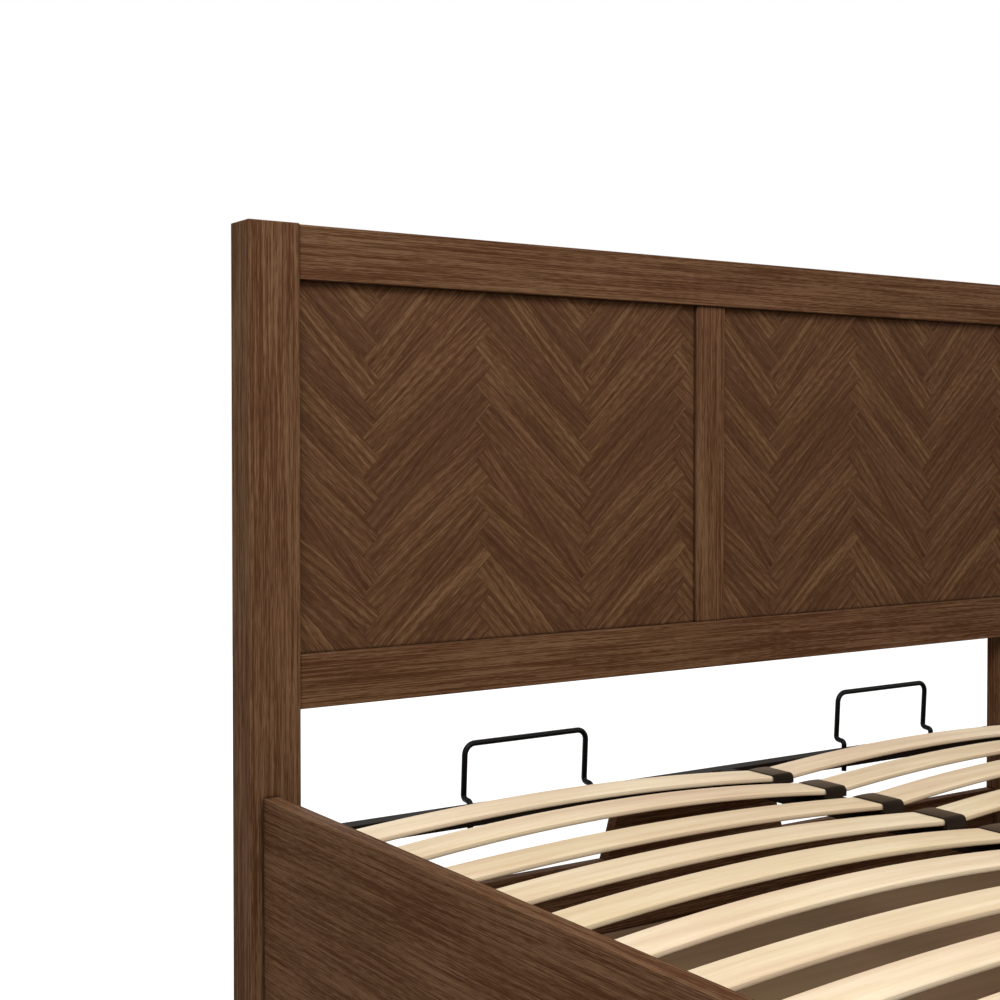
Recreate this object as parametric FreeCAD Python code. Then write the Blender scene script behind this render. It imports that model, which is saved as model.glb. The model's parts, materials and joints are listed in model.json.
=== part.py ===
import FreeCAD, Part
import math
import os

# Ottoman bed, all lengths in millimetres.
# +X is to the right seen from the foot end, +Y runs to the headboard, +Z is up.
# The origin lies on the floor under the middle of the bed.

Vector = FreeCAD.Vector
ORIGIN = Vector(0, 0, 0)
ALONG_X = Vector(1, 0, 0)
ALONG_Y = Vector(0, 1, 0)
ALONG_Z = Vector(0, 0, 1)

# Mattress that the bed takes, and the room round it
mattress_width = 1400.0
mattress_length = 2000.0
mattress_side_gap = 12.5
mattress_end_gap = 10.0

# Boards and posts
rail_thickness = 22.0
rail_top = 330.0
rail_bottom = 30.0
rail_inset = 18.0
post_width = 70.0
post_depth = 52.0
head_post_top = 1042.0
foot_post_top = 352.0
post_ease = 2.0
board_ease = 1.2

# Headboard between the posts
head_rail_height = 68.0
head_rail_depth = 38.0
head_rail_setback = 3.0
top_rail_drop = 1.0
panel_opening_height = 470.0
panel_thickness = 9.0
panel_recess = 11.0
groove_depth = 8.0
mullion_width = 54.0
mullion_depth = 26.0
mullion_setback = 5.0
tenon_length = 16.0
tenon_thickness = 16.0
tenon_shoulder = 8.0
wood_clearance = 0.2
head_end_board_top = 163.0
head_end_board_thickness = 18.0
head_end_raised_top = 245.0
head_end_raised_width = 300.0
head_end_shoulder_width = 24.0

# Floor glides and storage floor
glide_width = 30.0
glide_height = 4.0
batten_width = 20.0
batten_height = 18.0
floor_thickness = 9.0
floor_edge_gap = 0.5
floor_joint_gap = 1.0
bearer_width = 40.0
bearer_height = 30.0
bearer_foot_width = 36.0
bearer_foot_count = 3
bearer_end_distance = 180.0

# Steel platform frame, two welded halves that meet in the middle
tube_size = 25.0
tube_wall = 1.5
tube_corner = 1.2
tube_top = 286.5
platform_head_gap = 3.0
platform_foot_gap = 10.0
side_tube_gap = 7.5

# Sprung slats, bowed upwards
slat_width = 53.0
slat_thickness = 8.0
slat_rise = 14.3
slat_pitch = 102.0
first_slat_distance = 120.0

# Plastic slat caps
cap_wall = 3.0
cap_height = 14.5
cap_corner = 3.0
centre_cap_width = 37.0
centre_cap_web = 5.0
outer_cap_width = 24.0
slat_end_gap = 0.9
pocket_rise = 1.6
slat_fit = 0.3
slat_seat_gap = 0.1

# Mattress retainer loops, bent from round rod
rod_diameter = 8.0
loop_width = 201.0
left_loop_distance = 341.0
right_loop_distance = 359.0
loop_height = 75.5
loop_bend = 18.0
loop_lean = 4.0
jog_bend = 5.5
jog_offset = 17.0
jog_height = 2.0
left_jog_start = 5.0
right_jog_start = 12.0
loop_tail = 21.0
loop_hole_clearance = 0.1
rod_sides = 10
rod_corner_share = 0.5
bend_step_deg = 30.0

# Lifting gear
pivot_distance = 190.0
strut_crank = 220.0
strut_spread_deg = 58.0
platform_stud_drop = 37.5
lift_angle_deg = 38.0
plate_thickness = 4.0
plate_round_pivot = 24.0
plate_round_stud = 12.0
plate_round_heel = 20.0
plate_heel_forward = 4.0
plate_heel_down = 150.0
pivot_pin_radius = 5.0
pivot_collar_radius = 10.0
pivot_nut_radius = 9.5
pivot_nut_thickness = 8.0
nut_sides = 6
running_clearance = 0.08
face_clearance = 0.3
stud_radius = 4.0
stud_shoulder_radius = 7.0
stud_overhang = 2.0
eye_radius = 9.0
eye_width = 10.0
eye_neck = 14.0
eye_neck_width = 9.0
bracket_thickness = 4.0
bracket_top_length = 90.0
bracket_round = 14.0
strut_plane_distance = 14.0
cylinder_radius = 9.0
cylinder_end_thickness = 8.0
cylinder_spare_length = 40.0
rod_radius = 4.0
rod_stop_gap = 4.0

# Steel fittings on the boards
fitting_thickness = 3.0
corner_leg_on_rail = 40.0
corner_leg_on_post = 27.0
corner_bracket_bottom = 70.0
corner_bracket_top = 190.0
rest_width = 30.0
rest_length = 120.0
rest_leg_height = 40.0
rest_place_shares = (0.3234, 0.8209)
buffer_thickness = 6.0
buffer_length = 60.0
buffer_width = 20.0
cut_overrun = 5.0

# Places worked out from the sizes above
inner_width = mattress_width + 2 * mattress_side_gap
rail_inner_x = inner_width / 2
rail_outer_x = rail_inner_x + rail_thickness
outer_x = rail_outer_x + rail_inset
post_inner_x = outer_x - post_width
rail_length = mattress_length + mattress_end_gap
head_front_y = rail_length / 2
head_back_y = head_front_y + post_depth
foot_inner_y = -head_front_y
foot_outer_y = foot_inner_y - post_depth
head_rail_front_y = head_front_y + head_rail_setback
head_rail_back_y = head_rail_front_y + head_rail_depth
top_rail_top = head_post_top - top_rail_drop
top_rail_bottom = top_rail_top - head_rail_height
bottom_rail_top = top_rail_bottom - panel_opening_height
bottom_rail_bottom = bottom_rail_top - head_rail_height
panel_front_y = head_rail_front_y + panel_recess
panel_back_y = panel_front_y + panel_thickness
floor_bottom = rail_bottom + batten_height
floor_top = floor_bottom + floor_thickness
foot_board_outer_y = foot_outer_y + rail_inset
foot_board_inner_y = foot_board_outer_y + rail_thickness
head_end_board_front_y = head_back_y - head_end_board_thickness
tube_bottom = tube_top - tube_size
tube_middle = tube_top - tube_size / 2
platform_x = rail_inner_x - side_tube_gap
platform_head_y = head_front_y - platform_head_gap
platform_foot_y = foot_inner_y + platform_foot_gap
platform_middle_y = (platform_head_y + platform_foot_y) / 2
platform_middle_gap = head_front_y - platform_middle_y - slat_pitch / 2
head_tube_y = platform_head_y - tube_size / 2
pivot_y = head_tube_y - pivot_distance
pivot_z = tube_middle
stud_drop_angle = math.asin(platform_stud_drop / strut_crank)
base_stud_angle = stud_drop_angle + math.radians(strut_spread_deg)
platform_stud_y = pivot_y - strut_crank * math.cos(stud_drop_angle)
platform_stud_z = pivot_z - platform_stud_drop
base_stud_y = pivot_y - strut_crank * math.cos(base_stud_angle)
base_stud_z = pivot_z - strut_crank * math.sin(base_stud_angle)
strut_closed = 2 * strut_crank * math.sin(math.radians(strut_spread_deg) / 2)
strut_open = 2 * strut_crank * math.sin(math.radians(strut_spread_deg + lift_angle_deg) / 2)
strut_stroke = strut_open - strut_closed
slat_rows_per_half = 1 + int((platform_middle_gap - first_slat_distance) / slat_pitch)
plate_inner_x = rail_inner_x - plate_thickness
strut_x = platform_x - strut_plane_distance


def box(low_x, high_x, low_y, high_y, low_z, high_z):
    """A block between its low and high corners."""
    return Part.makeBox(high_x - low_x, high_y - low_y, high_z - low_z, Vector(low_x, low_y, low_z))


def rod_between(start, end, radius):
    """A round bar from one point to another."""
    run = end - start
    return Part.makeCylinder(radius, run.Length, start, run)


def other_side(shape):
    """The same piece on the other side of the bed."""
    return shape.mirror(ORIGIN, ALONG_X)


def edges_along(shape, direction):
    """The straight edges that run along one direction."""
    chosen = []
    for edge in shape.Edges:
        run = edge.Vertexes[-1].Point - edge.Vertexes[0].Point
        if run.Length > 0 and run.cross(direction).Length < run.Length / 2:
            chosen.append(edge)
    return chosen


def eased(shape, radius, direction):
    """Rounds the long edges that run along one direction."""
    return shape.makeFillet(radius, edges_along(shape, direction))


def bevelled(shape, width, direction):
    """Bevels the long edges that run along one direction."""
    return shape.makeChamfer(width, edges_along(shape, direction))


def rounded_plate(circles, low_x, thickness):
    """A flat plate across X whose outline runs tangent round (y, z, radius) circles, given in turn."""
    points = []
    count = len(circles)
    for index in range(count):
        y_a, z_a, radius_a = circles[index]
        y_b, z_b, radius_b = circles[(index + 1) % count]
        distance = math.hypot(y_b - y_a, z_b - z_a)
        heading = math.atan2(z_b - z_a, y_b - y_a)
        normal = heading - math.pi / 2 + math.asin((radius_a - radius_b) / distance)
        side = Vector(0, math.cos(normal), math.sin(normal))
        points.append((Vector(low_x, y_a, z_a) + side * radius_a, Vector(low_x, y_b, z_b) + side * radius_b, normal))
    edges = []
    for index in range(count):
        leave, arrive, normal = points[index]
        next_leave, next_arrive, next_normal = points[(index + 1) % count]
        edges.append(Part.LineSegment(leave, arrive).toShape())
        y_b, z_b, radius_b = circles[(index + 1) % count]
        turn = (next_normal - normal) % (2 * math.pi)
        middle = normal + turn / 2
        crown = Vector(low_x, y_b, z_b) + Vector(0, math.cos(middle), math.sin(middle)) * radius_b
        edges.append(Part.Arc(arrive, crown, next_leave).toShape())
    return Part.Face(Part.Wire(edges)).extrude(ALONG_X * thickness)


def plate_circles():
    """Outline circles of a hinge plate: pivot, lower strut stud and heel."""
    heel_y = pivot_y + plate_heel_forward
    heel_z = pivot_z - plate_heel_down
    return [(pivot_y, pivot_z, plate_round_pivot), (base_stud_y, base_stud_z, plate_round_stud),
            (heel_y, heel_z, plate_round_heel)]


def rest_places():
    """Middles of the left-hand rest angles along the rail."""
    return [head_front_y - share * rail_length for share in rest_place_shares]


# Headboard

def tenon(low_x, high_x, low_z, high_z):
    """A stub tenon on the middle of a head rail's thickness."""
    middle_y = (head_rail_front_y + head_rail_back_y) / 2
    return box(low_x, high_x, middle_y - tenon_thickness / 2, middle_y + tenon_thickness / 2,
               low_z + tenon_shoulder, high_z - tenon_shoulder)


def mortise(low_x, high_x, low_z, high_z):
    """The socket of a stub tenon, a clearance larger all round."""
    middle_y = (head_rail_front_y + head_rail_back_y) / 2
    half = tenon_thickness / 2 + wood_clearance
    return box(low_x, high_x, middle_y - half, middle_y + half,
               low_z + tenon_shoulder - wood_clearance, high_z - tenon_shoulder + wood_clearance)


def panel_groove(low_x, high_x, low_z, high_z):
    """The groove that takes a panel's edge, a clearance wider than the panel."""
    return box(low_x, high_x, panel_front_y - wood_clearance, panel_back_y + wood_clearance, low_z, high_z)


def left_head_post():
    """Post with eased edges, two mortises and the panel's groove."""
    post = box(-outer_x, -post_inner_x, head_front_y, head_back_y, glide_height, head_post_top)
    post = eased(post, post_ease, ALONG_Z)
    top_edges = [edge for edge in post.Edges if edge.BoundBox.ZMin > head_post_top - post_ease / 2]
    post = post.makeChamfer(post_ease / 2, top_edges)
    reach = -post_inner_x - tenon_length - wood_clearance
    for low_z, high_z in ((bottom_rail_bottom, bottom_rail_top), (top_rail_bottom, top_rail_top)):
        post = post.cut(mortise(reach, -post_inner_x + cut_overrun, low_z, high_z))
    return post.cut(panel_groove(-post_inner_x - groove_depth, -post_inner_x + cut_overrun,
                                 bottom_rail_top - groove_depth, top_rail_bottom + groove_depth))


def head_rail(low_z, high_z, groove_low_z, groove_high_z):
    """Rail between the posts with a tenon at each end, the panel groove and the mullion's mortise."""
    rail = box(-post_inner_x, post_inner_x, head_rail_front_y, head_rail_back_y, low_z, high_z)
    rail = eased(rail, board_ease, ALONG_X)
    for side in (-1, 1):
        ends = sorted((side * post_inner_x, side * (post_inner_x + tenon_length)))
        rail = rail.fuse(tenon(ends[0], ends[1], low_z, high_z))
    groove = panel_groove(-post_inner_x - cut_overrun, post_inner_x + cut_overrun, groove_low_z, groove_high_z)
    within = box(-post_inner_x, post_inner_x, head_rail_front_y, head_rail_back_y, low_z, high_z)
    return rail.cut(groove.common(within)).removeSplitter()


def centre_mullion():
    """Upright between the panels, tongued into both rails and grooved for both panels."""
    front_y = head_rail_front_y + mullion_setback
    upright = box(-mullion_width / 2, mullion_width / 2, front_y, front_y + mullion_depth,
                  bottom_rail_top, top_rail_bottom)
    upright = eased(upright, board_ease, ALONG_Z)
    tongue = box(-mullion_width / 2, mullion_width / 2, panel_front_y, panel_back_y,
                 bottom_rail_top - groove_depth + wood_clearance, top_rail_bottom + groove_depth - wood_clearance)
    upright = upright.fuse(tongue)
    for side in (-1, 1):
        ends = sorted((side * (mullion_width / 2 - groove_depth), side * (mullion_width / 2 + cut_overrun)))
        upright = upright.cut(panel_groove(ends[0], ends[1], bottom_rail_bottom, top_rail_top))
    return upright.removeSplitter()


def left_panel():
    """Flat veneered panel held in the grooves all round."""
    into_groove = groove_depth - wood_clearance
    return box(-post_inner_x - into_groove, -mullion_width / 2 + into_groove, panel_front_y, panel_back_y,
               bottom_rail_top - into_groove, top_rail_bottom + into_groove)


def head_end_board():
    """Low board that closes the storage space between the head posts, raised in the middle."""
    raised_x = head_end_raised_width / 2
    shoulder_x = raised_x + head_end_shoulder_width
    outline = [(post_inner_x, rail_bottom), (post_inner_x, head_end_board_top), (shoulder_x, head_end_board_top),
               (raised_x, head_end_raised_top)]
    outline += [(-x, z) for x, z in reversed(outline)]
    corners = [Vector(x, head_end_board_front_y, z) for x, z in outline + outline[:1]]
    board = Part.Face(Part.makePolygon(corners)).extrude(ALONG_Y * head_end_board_thickness)
    return bevelled(board, board_ease, ALONG_X)


# Sides and foot

def left_side_rail():
    """Side board that butts on the posts."""
    rail = box(-rail_outer_x, -rail_inner_x, foot_inner_y, head_front_y, rail_bottom, rail_top)
    return bevelled(rail, board_ease, ALONG_Y)


def foot_board():
    """Board between the foot posts."""
    board = box(-post_inner_x, post_inner_x, foot_board_outer_y, foot_board_inner_y, rail_bottom, rail_top)
    return bevelled(board, board_ease, ALONG_X)


def left_foot_post():
    """Short post at the foot with bevelled edges."""
    post = box(-outer_x, -post_inner_x, foot_outer_y, foot_inner_y, glide_height, foot_post_top)
    post = bevelled(post, post_ease, ALONG_Z)
    top_edges = [edge for edge in post.Edges if edge.BoundBox.ZMin > foot_post_top - post_ease / 2]
    return post.makeChamfer(post_ease / 2, top_edges)


def floor_glides():
    """Square felt glides under the four posts."""
    half = glide_width / 2
    glides = []
    for side in (-1, 1):
        middle_x = side * (outer_x - post_width / 2)
        for middle_y in ((head_front_y + head_back_y) / 2, (foot_inner_y + foot_outer_y) / 2):
            glides.append(box(middle_x - half, middle_x + half, middle_y - half, middle_y + half, 0, glide_height))
    return glides


# Storage floor

def floor_battens():
    """Battens on the side rails, the head-end board and the foot board that carry the floor."""
    side_batten = box(-rail_inner_x, -rail_inner_x + batten_width, foot_inner_y, head_front_y,
                      rail_bottom, floor_bottom)
    end_x = post_inner_x - batten_width
    head_batten = box(-end_x, end_x, head_end_board_front_y - batten_width, head_end_board_front_y,
                      rail_bottom, floor_bottom)
    foot_batten = box(-end_x, end_x, foot_board_inner_y, foot_board_inner_y + batten_width,
                      rail_bottom, floor_bottom)
    return [side_batten, other_side(side_batten), head_batten, foot_batten]


def floor_panel(low_y, high_y):
    """Half of the storage floor, notched round the posts."""
    side_x = rail_inner_x - floor_edge_gap
    panel = box(-side_x, side_x, low_y, high_y, floor_bottom, floor_top)
    for side in (-1, 1):
        notch_x = sorted((side * (post_inner_x - floor_edge_gap), side * (outer_x + cut_overrun)))
        for notch_y in ((head_front_y - floor_edge_gap, head_back_y), (foot_outer_y, foot_inner_y + floor_edge_gap)):
            panel = panel.cut(box(notch_x[0], notch_x[1], notch_y[0], notch_y[1], rail_bottom, rail_top))
    return panel


def floor_panel_head():
    """Head half of the storage floor."""
    return floor_panel(floor_joint_gap / 2, head_end_board_front_y - floor_edge_gap)


def floor_panel_foot():
    """Foot half of the storage floor."""
    return floor_panel(foot_board_inner_y + floor_edge_gap, -floor_joint_gap / 2)


def centre_bearer():
    """Timber under the middle of the floor, from the foot batten to the head batten."""
    low_y = foot_board_inner_y + batten_width
    high_y = head_end_board_front_y - batten_width
    return box(-bearer_width / 2, bearer_width / 2, low_y, high_y, floor_bottom - bearer_height, floor_bottom)


def bearer_feet():
    """Square feet that carry the bearer on the floor of the room."""
    half = bearer_foot_width / 2
    first = foot_inner_y + bearer_end_distance
    last = head_front_y - bearer_end_distance
    step = (last - first) / (bearer_foot_count - 1)
    feet = []
    for index in range(bearer_foot_count):
        middle_y = first + index * step
        feet.append(box(-half, half, middle_y - half, middle_y + half, 0, floor_bottom - bearer_height))
    return feet


# Steel fittings on the boards

def corner_brackets():
    """Steel angles between the side rails and the posts, one in each corner."""
    brackets = []
    for face_y, inward in ((head_front_y, -1), (foot_inner_y, 1)):
        along = sorted((face_y, face_y + inward * corner_leg_on_rail))
        on_rail = box(-rail_inner_x, -rail_inner_x + fitting_thickness, along[0], along[1],
                      corner_bracket_bottom, corner_bracket_top)
        across = sorted((face_y, face_y + inward * fitting_thickness))
        on_post = box(-rail_inner_x, -rail_inner_x + corner_leg_on_post, across[0], across[1],
                      corner_bracket_bottom, corner_bracket_top)
        bracket = on_rail.fuse(on_post).removeSplitter()
        brackets.append(bracket)
        brackets.append(other_side(bracket))
    return brackets


def platform_rests():
    """Steel angles on the side rails that the platform comes down on."""
    rests = []
    seat = tube_bottom - buffer_thickness
    for middle in rest_places():
        low_y = middle - rest_length / 2
        high_y = middle + rest_length / 2
        upright = box(-rail_inner_x, -rail_inner_x + fitting_thickness, low_y, high_y, seat - rest_leg_height, seat)
        shelf = box(-rail_inner_x, -rail_inner_x + rest_width, low_y, high_y, seat - fitting_thickness, seat)
        rest = upright.fuse(shelf).removeSplitter()
        rests.append(rest)
        rests.append(other_side(rest))
    return rests


def rest_buffers():
    """Rubber pads on the rest angles, under the side tubes."""
    buffers = []
    for middle in rest_places():
        pad = box(-platform_x, -platform_x + buffer_width, middle - buffer_length / 2, middle + buffer_length / 2,
                  tube_bottom - buffer_thickness, tube_bottom)
        buffers.append(pad)
        buffers.append(other_side(pad))
    return buffers


# Platform frame

def square_tube(low, high, axis):
    """A square steel tube between two points on its middle line."""
    half = tube_size / 2
    bore = half - tube_wall
    run = (high - low).Length
    outer = Part.makeBox(tube_size, tube_size, run, Vector(-half, -half, 0))
    outer = bevelled(outer, tube_corner, ALONG_Z)
    inner = Part.makeBox(2 * bore, 2 * bore, run, Vector(-bore, -bore, 0))
    tube = outer.cut(inner)
    tube.Placement = FreeCAD.Placement(low, FreeCAD.Rotation(ALONG_Z, axis))
    return tube


def cross_tube(middle_y):
    """A tube across the whole platform."""
    return square_tube(Vector(-platform_x, middle_y, tube_middle), Vector(platform_x, middle_y, tube_middle), ALONG_X)


def lengthways_tubes(middle_x):
    """A tube along each half of the platform, from end tube to middle tube."""
    head_half = square_tube(Vector(middle_x, platform_middle_y + tube_size, tube_middle),
                            Vector(middle_x, platform_head_y - tube_size, tube_middle), ALONG_Y)
    foot_half = square_tube(Vector(middle_x, platform_foot_y + tube_size, tube_middle),
                            Vector(middle_x, platform_middle_y - tube_size, tube_middle), ALONG_Y)
    return [head_half, foot_half]


def loop_leg_places():
    """X places of the four loop legs on the head tube."""
    places = []
    for centre_x in (-left_loop_distance, right_loop_distance):
        for leg in (-1, 1):
            places.append(centre_x + leg * loop_width / 2)
    return places


def head_tube():
    """Tube under the mattress retainers, drilled through for their legs."""
    tube = cross_tube(head_tube_y)
    for leg_x in loop_leg_places():
        leg = [Vector(leg_x, head_tube_y, tube_bottom - cut_overrun), Vector(leg_x, head_tube_y, tube_top + cut_overrun)]
        tube = tube.cut(bent_rod(leg, [], rod_diameter / 2 + loop_hole_clearance))
    return tube


def middle_tubes():
    """End tubes of the two halves, back to back."""
    return [cross_tube(platform_middle_y - tube_size / 2), cross_tube(platform_middle_y + tube_size / 2)]


def left_side_tubes():
    """Side tubes of both halves, the head one drilled for the pivot pin."""
    middle_x = -platform_x + tube_size / 2
    head_half, foot_half = lengthways_tubes(middle_x)
    start = Vector(-rail_inner_x, pivot_y, pivot_z)
    end = Vector(0, pivot_y, pivot_z)
    return [head_half.cut(rod_between(start, end, pivot_pin_radius + running_clearance)), foot_half]


# Slats and their caps

def slat_row_places():
    """Y places of the slat rows: the foot half mirrors the head half."""
    head_rows = [head_front_y - first_slat_distance - row * slat_pitch for row in range(slat_rows_per_half)]
    foot_rows = [2 * platform_middle_y - place for place in reversed(head_rows)]
    return head_rows + foot_rows


def bowed_slat(inner_x, end_x, middle_y):
    """A slat bent to an arc."""
    base_z = tube_top + cap_wall
    half = (end_x - inner_x) / 2
    middle_x = (end_x + inner_x) / 2
    radius = (half * half + slat_rise * slat_rise) / (2 * slat_rise)
    centre_z = base_z + slat_rise - radius
    sweep = math.asin(half / radius)
    front_y = middle_y - slat_width / 2

    def on_arc(arc_radius, angle):
        return Vector(middle_x + arc_radius * math.sin(angle), front_y, centre_z + arc_radius * math.cos(angle))

    upper = radius + slat_thickness
    edges = [Part.Arc(on_arc(radius, -sweep), on_arc(radius, 0), on_arc(radius, sweep)).toShape(),
             Part.LineSegment(on_arc(radius, sweep), on_arc(upper, sweep)).toShape(),
             Part.Arc(on_arc(upper, sweep), on_arc(upper, 0), on_arc(upper, -sweep)).toShape(),
             Part.LineSegment(on_arc(upper, -sweep), on_arc(radius, -sweep)).toShape()]
    return Part.Face(Part.Wire(edges)).extrude(ALONG_Y * slat_width)


def slat_row(middle_y):
    """The left and right slats of one row."""
    right = bowed_slat(centre_cap_web / 2 + slat_end_gap, platform_x - cap_wall, middle_y)
    return [other_side(right), right]


def cap_block(low_x, high_x, middle_y):
    """Outer form of a slat cap, with its upper edges bevelled."""
    half_y = slat_width / 2 + slat_fit + cap_wall
    block = box(low_x, high_x, middle_y - half_y, middle_y + half_y, tube_top, tube_top + cap_height)
    upper = [edge for edge in block.Edges
             if edge.BoundBox.ZMin > tube_top + cap_height / 2 and edge.BoundBox.YLength < slat_fit]
    return block.makeChamfer(cap_corner, upper)


def cap_pocket(low_x, high_x, middle_y):
    """Room for a slat's end inside a cap."""
    half_y = slat_width / 2 + slat_fit
    base_z = tube_top + cap_wall - slat_seat_gap
    return box(low_x, high_x, middle_y - half_y, middle_y + half_y,
               base_z, base_z + slat_thickness + pocket_rise + slat_fit)


def centre_caps():
    """Double caps on the centre tube that hold both slats of a row."""
    caps = []
    for middle_y in slat_row_places():
        cap = cap_block(-centre_cap_width / 2, centre_cap_width / 2, middle_y)
        for side in (-1, 1):
            ends = sorted((side * centre_cap_web / 2, side * (centre_cap_width / 2 + cut_overrun)))
            cap = cap.cut(cap_pocket(ends[0], ends[1], middle_y))
        caps.append(cap)
    return caps


def outer_caps():
    """Single caps on the side tubes, closed at the outside."""
    caps = []
    for middle_y in slat_row_places():
        cap = cap_block(platform_x - outer_cap_width, platform_x, middle_y)
        pocket_end = platform_x - cap_wall + slat_end_gap
        cap = cap.cut(cap_pocket(platform_x - outer_cap_width - cut_overrun, pocket_end, middle_y))
        caps.append(cap)
        caps.append(other_side(cap))
    return caps


# Mattress retainer loops

def bend_points(before, corner, after, radius):
    """Corners of short chords round a tangent bend between two straight runs."""
    back = (before - corner).normalize()
    ahead = (after - corner).normalize()
    half_turn = (math.pi - back.getAngle(ahead)) / 2
    centre = corner + (back + ahead).normalize() * (radius / math.cos(half_turn))
    spoke = corner + back * (radius * math.tan(half_turn)) - centre
    step_count = math.ceil(2 * half_turn / math.radians(bend_step_deg))
    turn_axis = back.cross(ahead) * -1
    half_step = half_turn / step_count
    chord_radius = radius / math.cos(half_step)
    points = []
    for step in range(step_count):
        turn = FreeCAD.Rotation(turn_axis, math.degrees(half_step * (2 * step + 1)))
        points.append(centre + turn.multVec(spoke).normalize() * chord_radius)
    return points


def bent_rod(points, bends, radius):
    """A many-sided rod along straight runs and bends, mitred where two runs meet."""
    path = [points[0]]
    for index, bend in enumerate(bends):
        path += bend_points(points[index], points[index + 1], points[index + 2], bend)
    path.append(points[-1])
    runs = [(path[index + 1] - path[index]).normalize() for index in range(len(path) - 1)]
    turns = [2 * math.pi * (side + rod_corner_share) / rod_sides for side in range(rod_sides)]
    spokes = [ALONG_X * (radius * math.cos(turn)) + ALONG_Y * (radius * math.sin(turn)) for turn in turns]
    sections = []
    for index, place in enumerate(path):
        arriving = runs[max(index - 1, 0)]
        leaving = runs[min(index, len(runs) - 1)]
        mitre = arriving + leaving
        slid = [spoke - arriving * (spoke.dot(mitre) / arriving.dot(mitre)) for spoke in spokes]
        corners = [place + spoke for spoke in slid]
        sections.append(Part.makePolygon(corners + [corners[0]]))
        turn = FreeCAD.Rotation(arriving, leaving)
        spokes = [turn.multVec(spoke) for spoke in spokes]
    return Part.makeLoft(sections, True, True)


def retainer_loop(centre_x, jog_start):
    """A loop whose legs stand in the head tube, jog back towards the headboard and lean forward again."""
    lower_y = head_tube_y
    upper_y = head_tube_y + jog_offset
    jog_z = tube_top + jog_start
    leg = []
    leg.append((lower_y, tube_bottom + jog_start - loop_tail))
    leg.append((lower_y, jog_z))
    leg.append((upper_y, jog_z + jog_height))
    leg.append((upper_y - loop_lean, jog_z + loop_height))
    left_x = centre_x - loop_width / 2
    right_x = centre_x + loop_width / 2
    points = [Vector(left_x, y, z) for y, z in leg] + [Vector(right_x, y, z) for y, z in reversed(leg)]
    bends = [jog_bend, jog_bend, loop_bend, loop_bend, jog_bend, jog_bend]
    return bent_rod(points, bends, rod_diameter / 2)


# Lifting gear

def left_hinge_plate():
    """Steel plate on the side rail with the hole of the pivot pin and the riveted lower strut stud."""
    plate = rounded_plate(plate_circles(), -rail_inner_x, plate_thickness)
    plate = plate.cut(rod_between(Vector(-rail_inner_x - cut_overrun, pivot_y, pivot_z),
                                  Vector(0, pivot_y, pivot_z), pivot_pin_radius))
    return plate.fuse(stud(-plate_inner_x, base_stud_y, base_stud_z)).removeSplitter()


def stud(face_x, y, z):
    """A shouldered stud that points inwards from a face."""
    near_x = -strut_x - eye_width / 2 - face_clearance
    far_x = -strut_x + eye_width / 2 + stud_overhang
    shoulder = rod_between(Vector(face_x, y, z), Vector(near_x, y, z), stud_shoulder_radius)
    shank = rod_between(Vector(face_x, y, z), Vector(far_x, y, z), stud_radius)
    return shoulder.fuse(shank)


def pivot_pins():
    """Pins riveted into the hinge plates, each with a collar outside the tube and a nut inside it."""
    nut_x = -platform_x + tube_size + face_clearance
    pin = rod_between(Vector(-rail_inner_x, pivot_y, pivot_z), Vector(nut_x, pivot_y, pivot_z), pivot_pin_radius)
    collar = rod_between(Vector(-plate_inner_x, pivot_y, pivot_z),
                         Vector(-platform_x - face_clearance, pivot_y, pivot_z), pivot_collar_radius)
    turns = [2 * math.pi * corner / nut_sides for corner in range(nut_sides + 1)]
    corners = [Vector(nut_x, pivot_y + pivot_nut_radius * math.cos(turn),
                      pivot_z + pivot_nut_radius * math.sin(turn)) for turn in turns]
    nut = Part.Face(Part.makePolygon(corners)).extrude(ALONG_X * pivot_nut_thickness)
    left = pin.fuse(collar).fuse(nut).removeSplitter()
    return [left, other_side(left)]


def left_strut_bracket():
    """Steel bracket welded under the side tube with the upper strut stud."""
    low_x = -platform_x
    half = bracket_top_length / 2
    shoulder_z = tube_bottom - bracket_round / 2
    tongue = Part.Face(Part.makePolygon([
        Vector(low_x, platform_stud_y - half, tube_bottom), Vector(low_x, platform_stud_y + half, tube_bottom),
        Vector(low_x, platform_stud_y + half, shoulder_z), Vector(low_x, platform_stud_y + bracket_round, platform_stud_z),
        Vector(low_x, platform_stud_y - bracket_round, platform_stud_z),
        Vector(low_x, platform_stud_y - half, shoulder_z), Vector(low_x, platform_stud_y - half, tube_bottom),
    ])).extrude(ALONG_X * bracket_thickness)
    tip = Vector(low_x, platform_stud_y, platform_stud_z)
    tongue = tongue.fuse(rod_between(tip, tip + ALONG_X * bracket_thickness, bracket_round))
    foot = box(low_x, low_x + tube_size, platform_stud_y - half, platform_stud_y + half,
               tube_bottom - bracket_thickness, tube_bottom)
    bracket = tongue.fuse(foot).fuse(stud(low_x + bracket_thickness, platform_stud_y, platform_stud_z))
    return bracket.removeSplitter()


def placed_strut(shape):
    """Turns a strut piece, built upwards from the lower stud's middle, into the line of the left strut."""
    lean = math.degrees(math.atan2(base_stud_y - platform_stud_y, platform_stud_z - base_stud_z))
    shape.rotate(ORIGIN, ALONG_X, lean)
    shape.translate(Vector(-strut_x, base_stud_y, base_stud_z))
    return shape


def strut_eye(level, neck_low, neck_high):
    """A flat eye across the strut at a level, with the neck that carries it."""
    ring = rod_between(Vector(-eye_width / 2, 0, level), Vector(eye_width / 2, 0, level), eye_radius)
    neck = box(-eye_width / 2, eye_width / 2, -eye_neck_width / 2, eye_neck_width / 2, neck_low, neck_high)
    hole = rod_between(Vector(-eye_width, 0, level), Vector(eye_width, 0, level), stud_radius + running_clearance)
    return ring.fuse(neck).cut(hole).removeSplitter()


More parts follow.
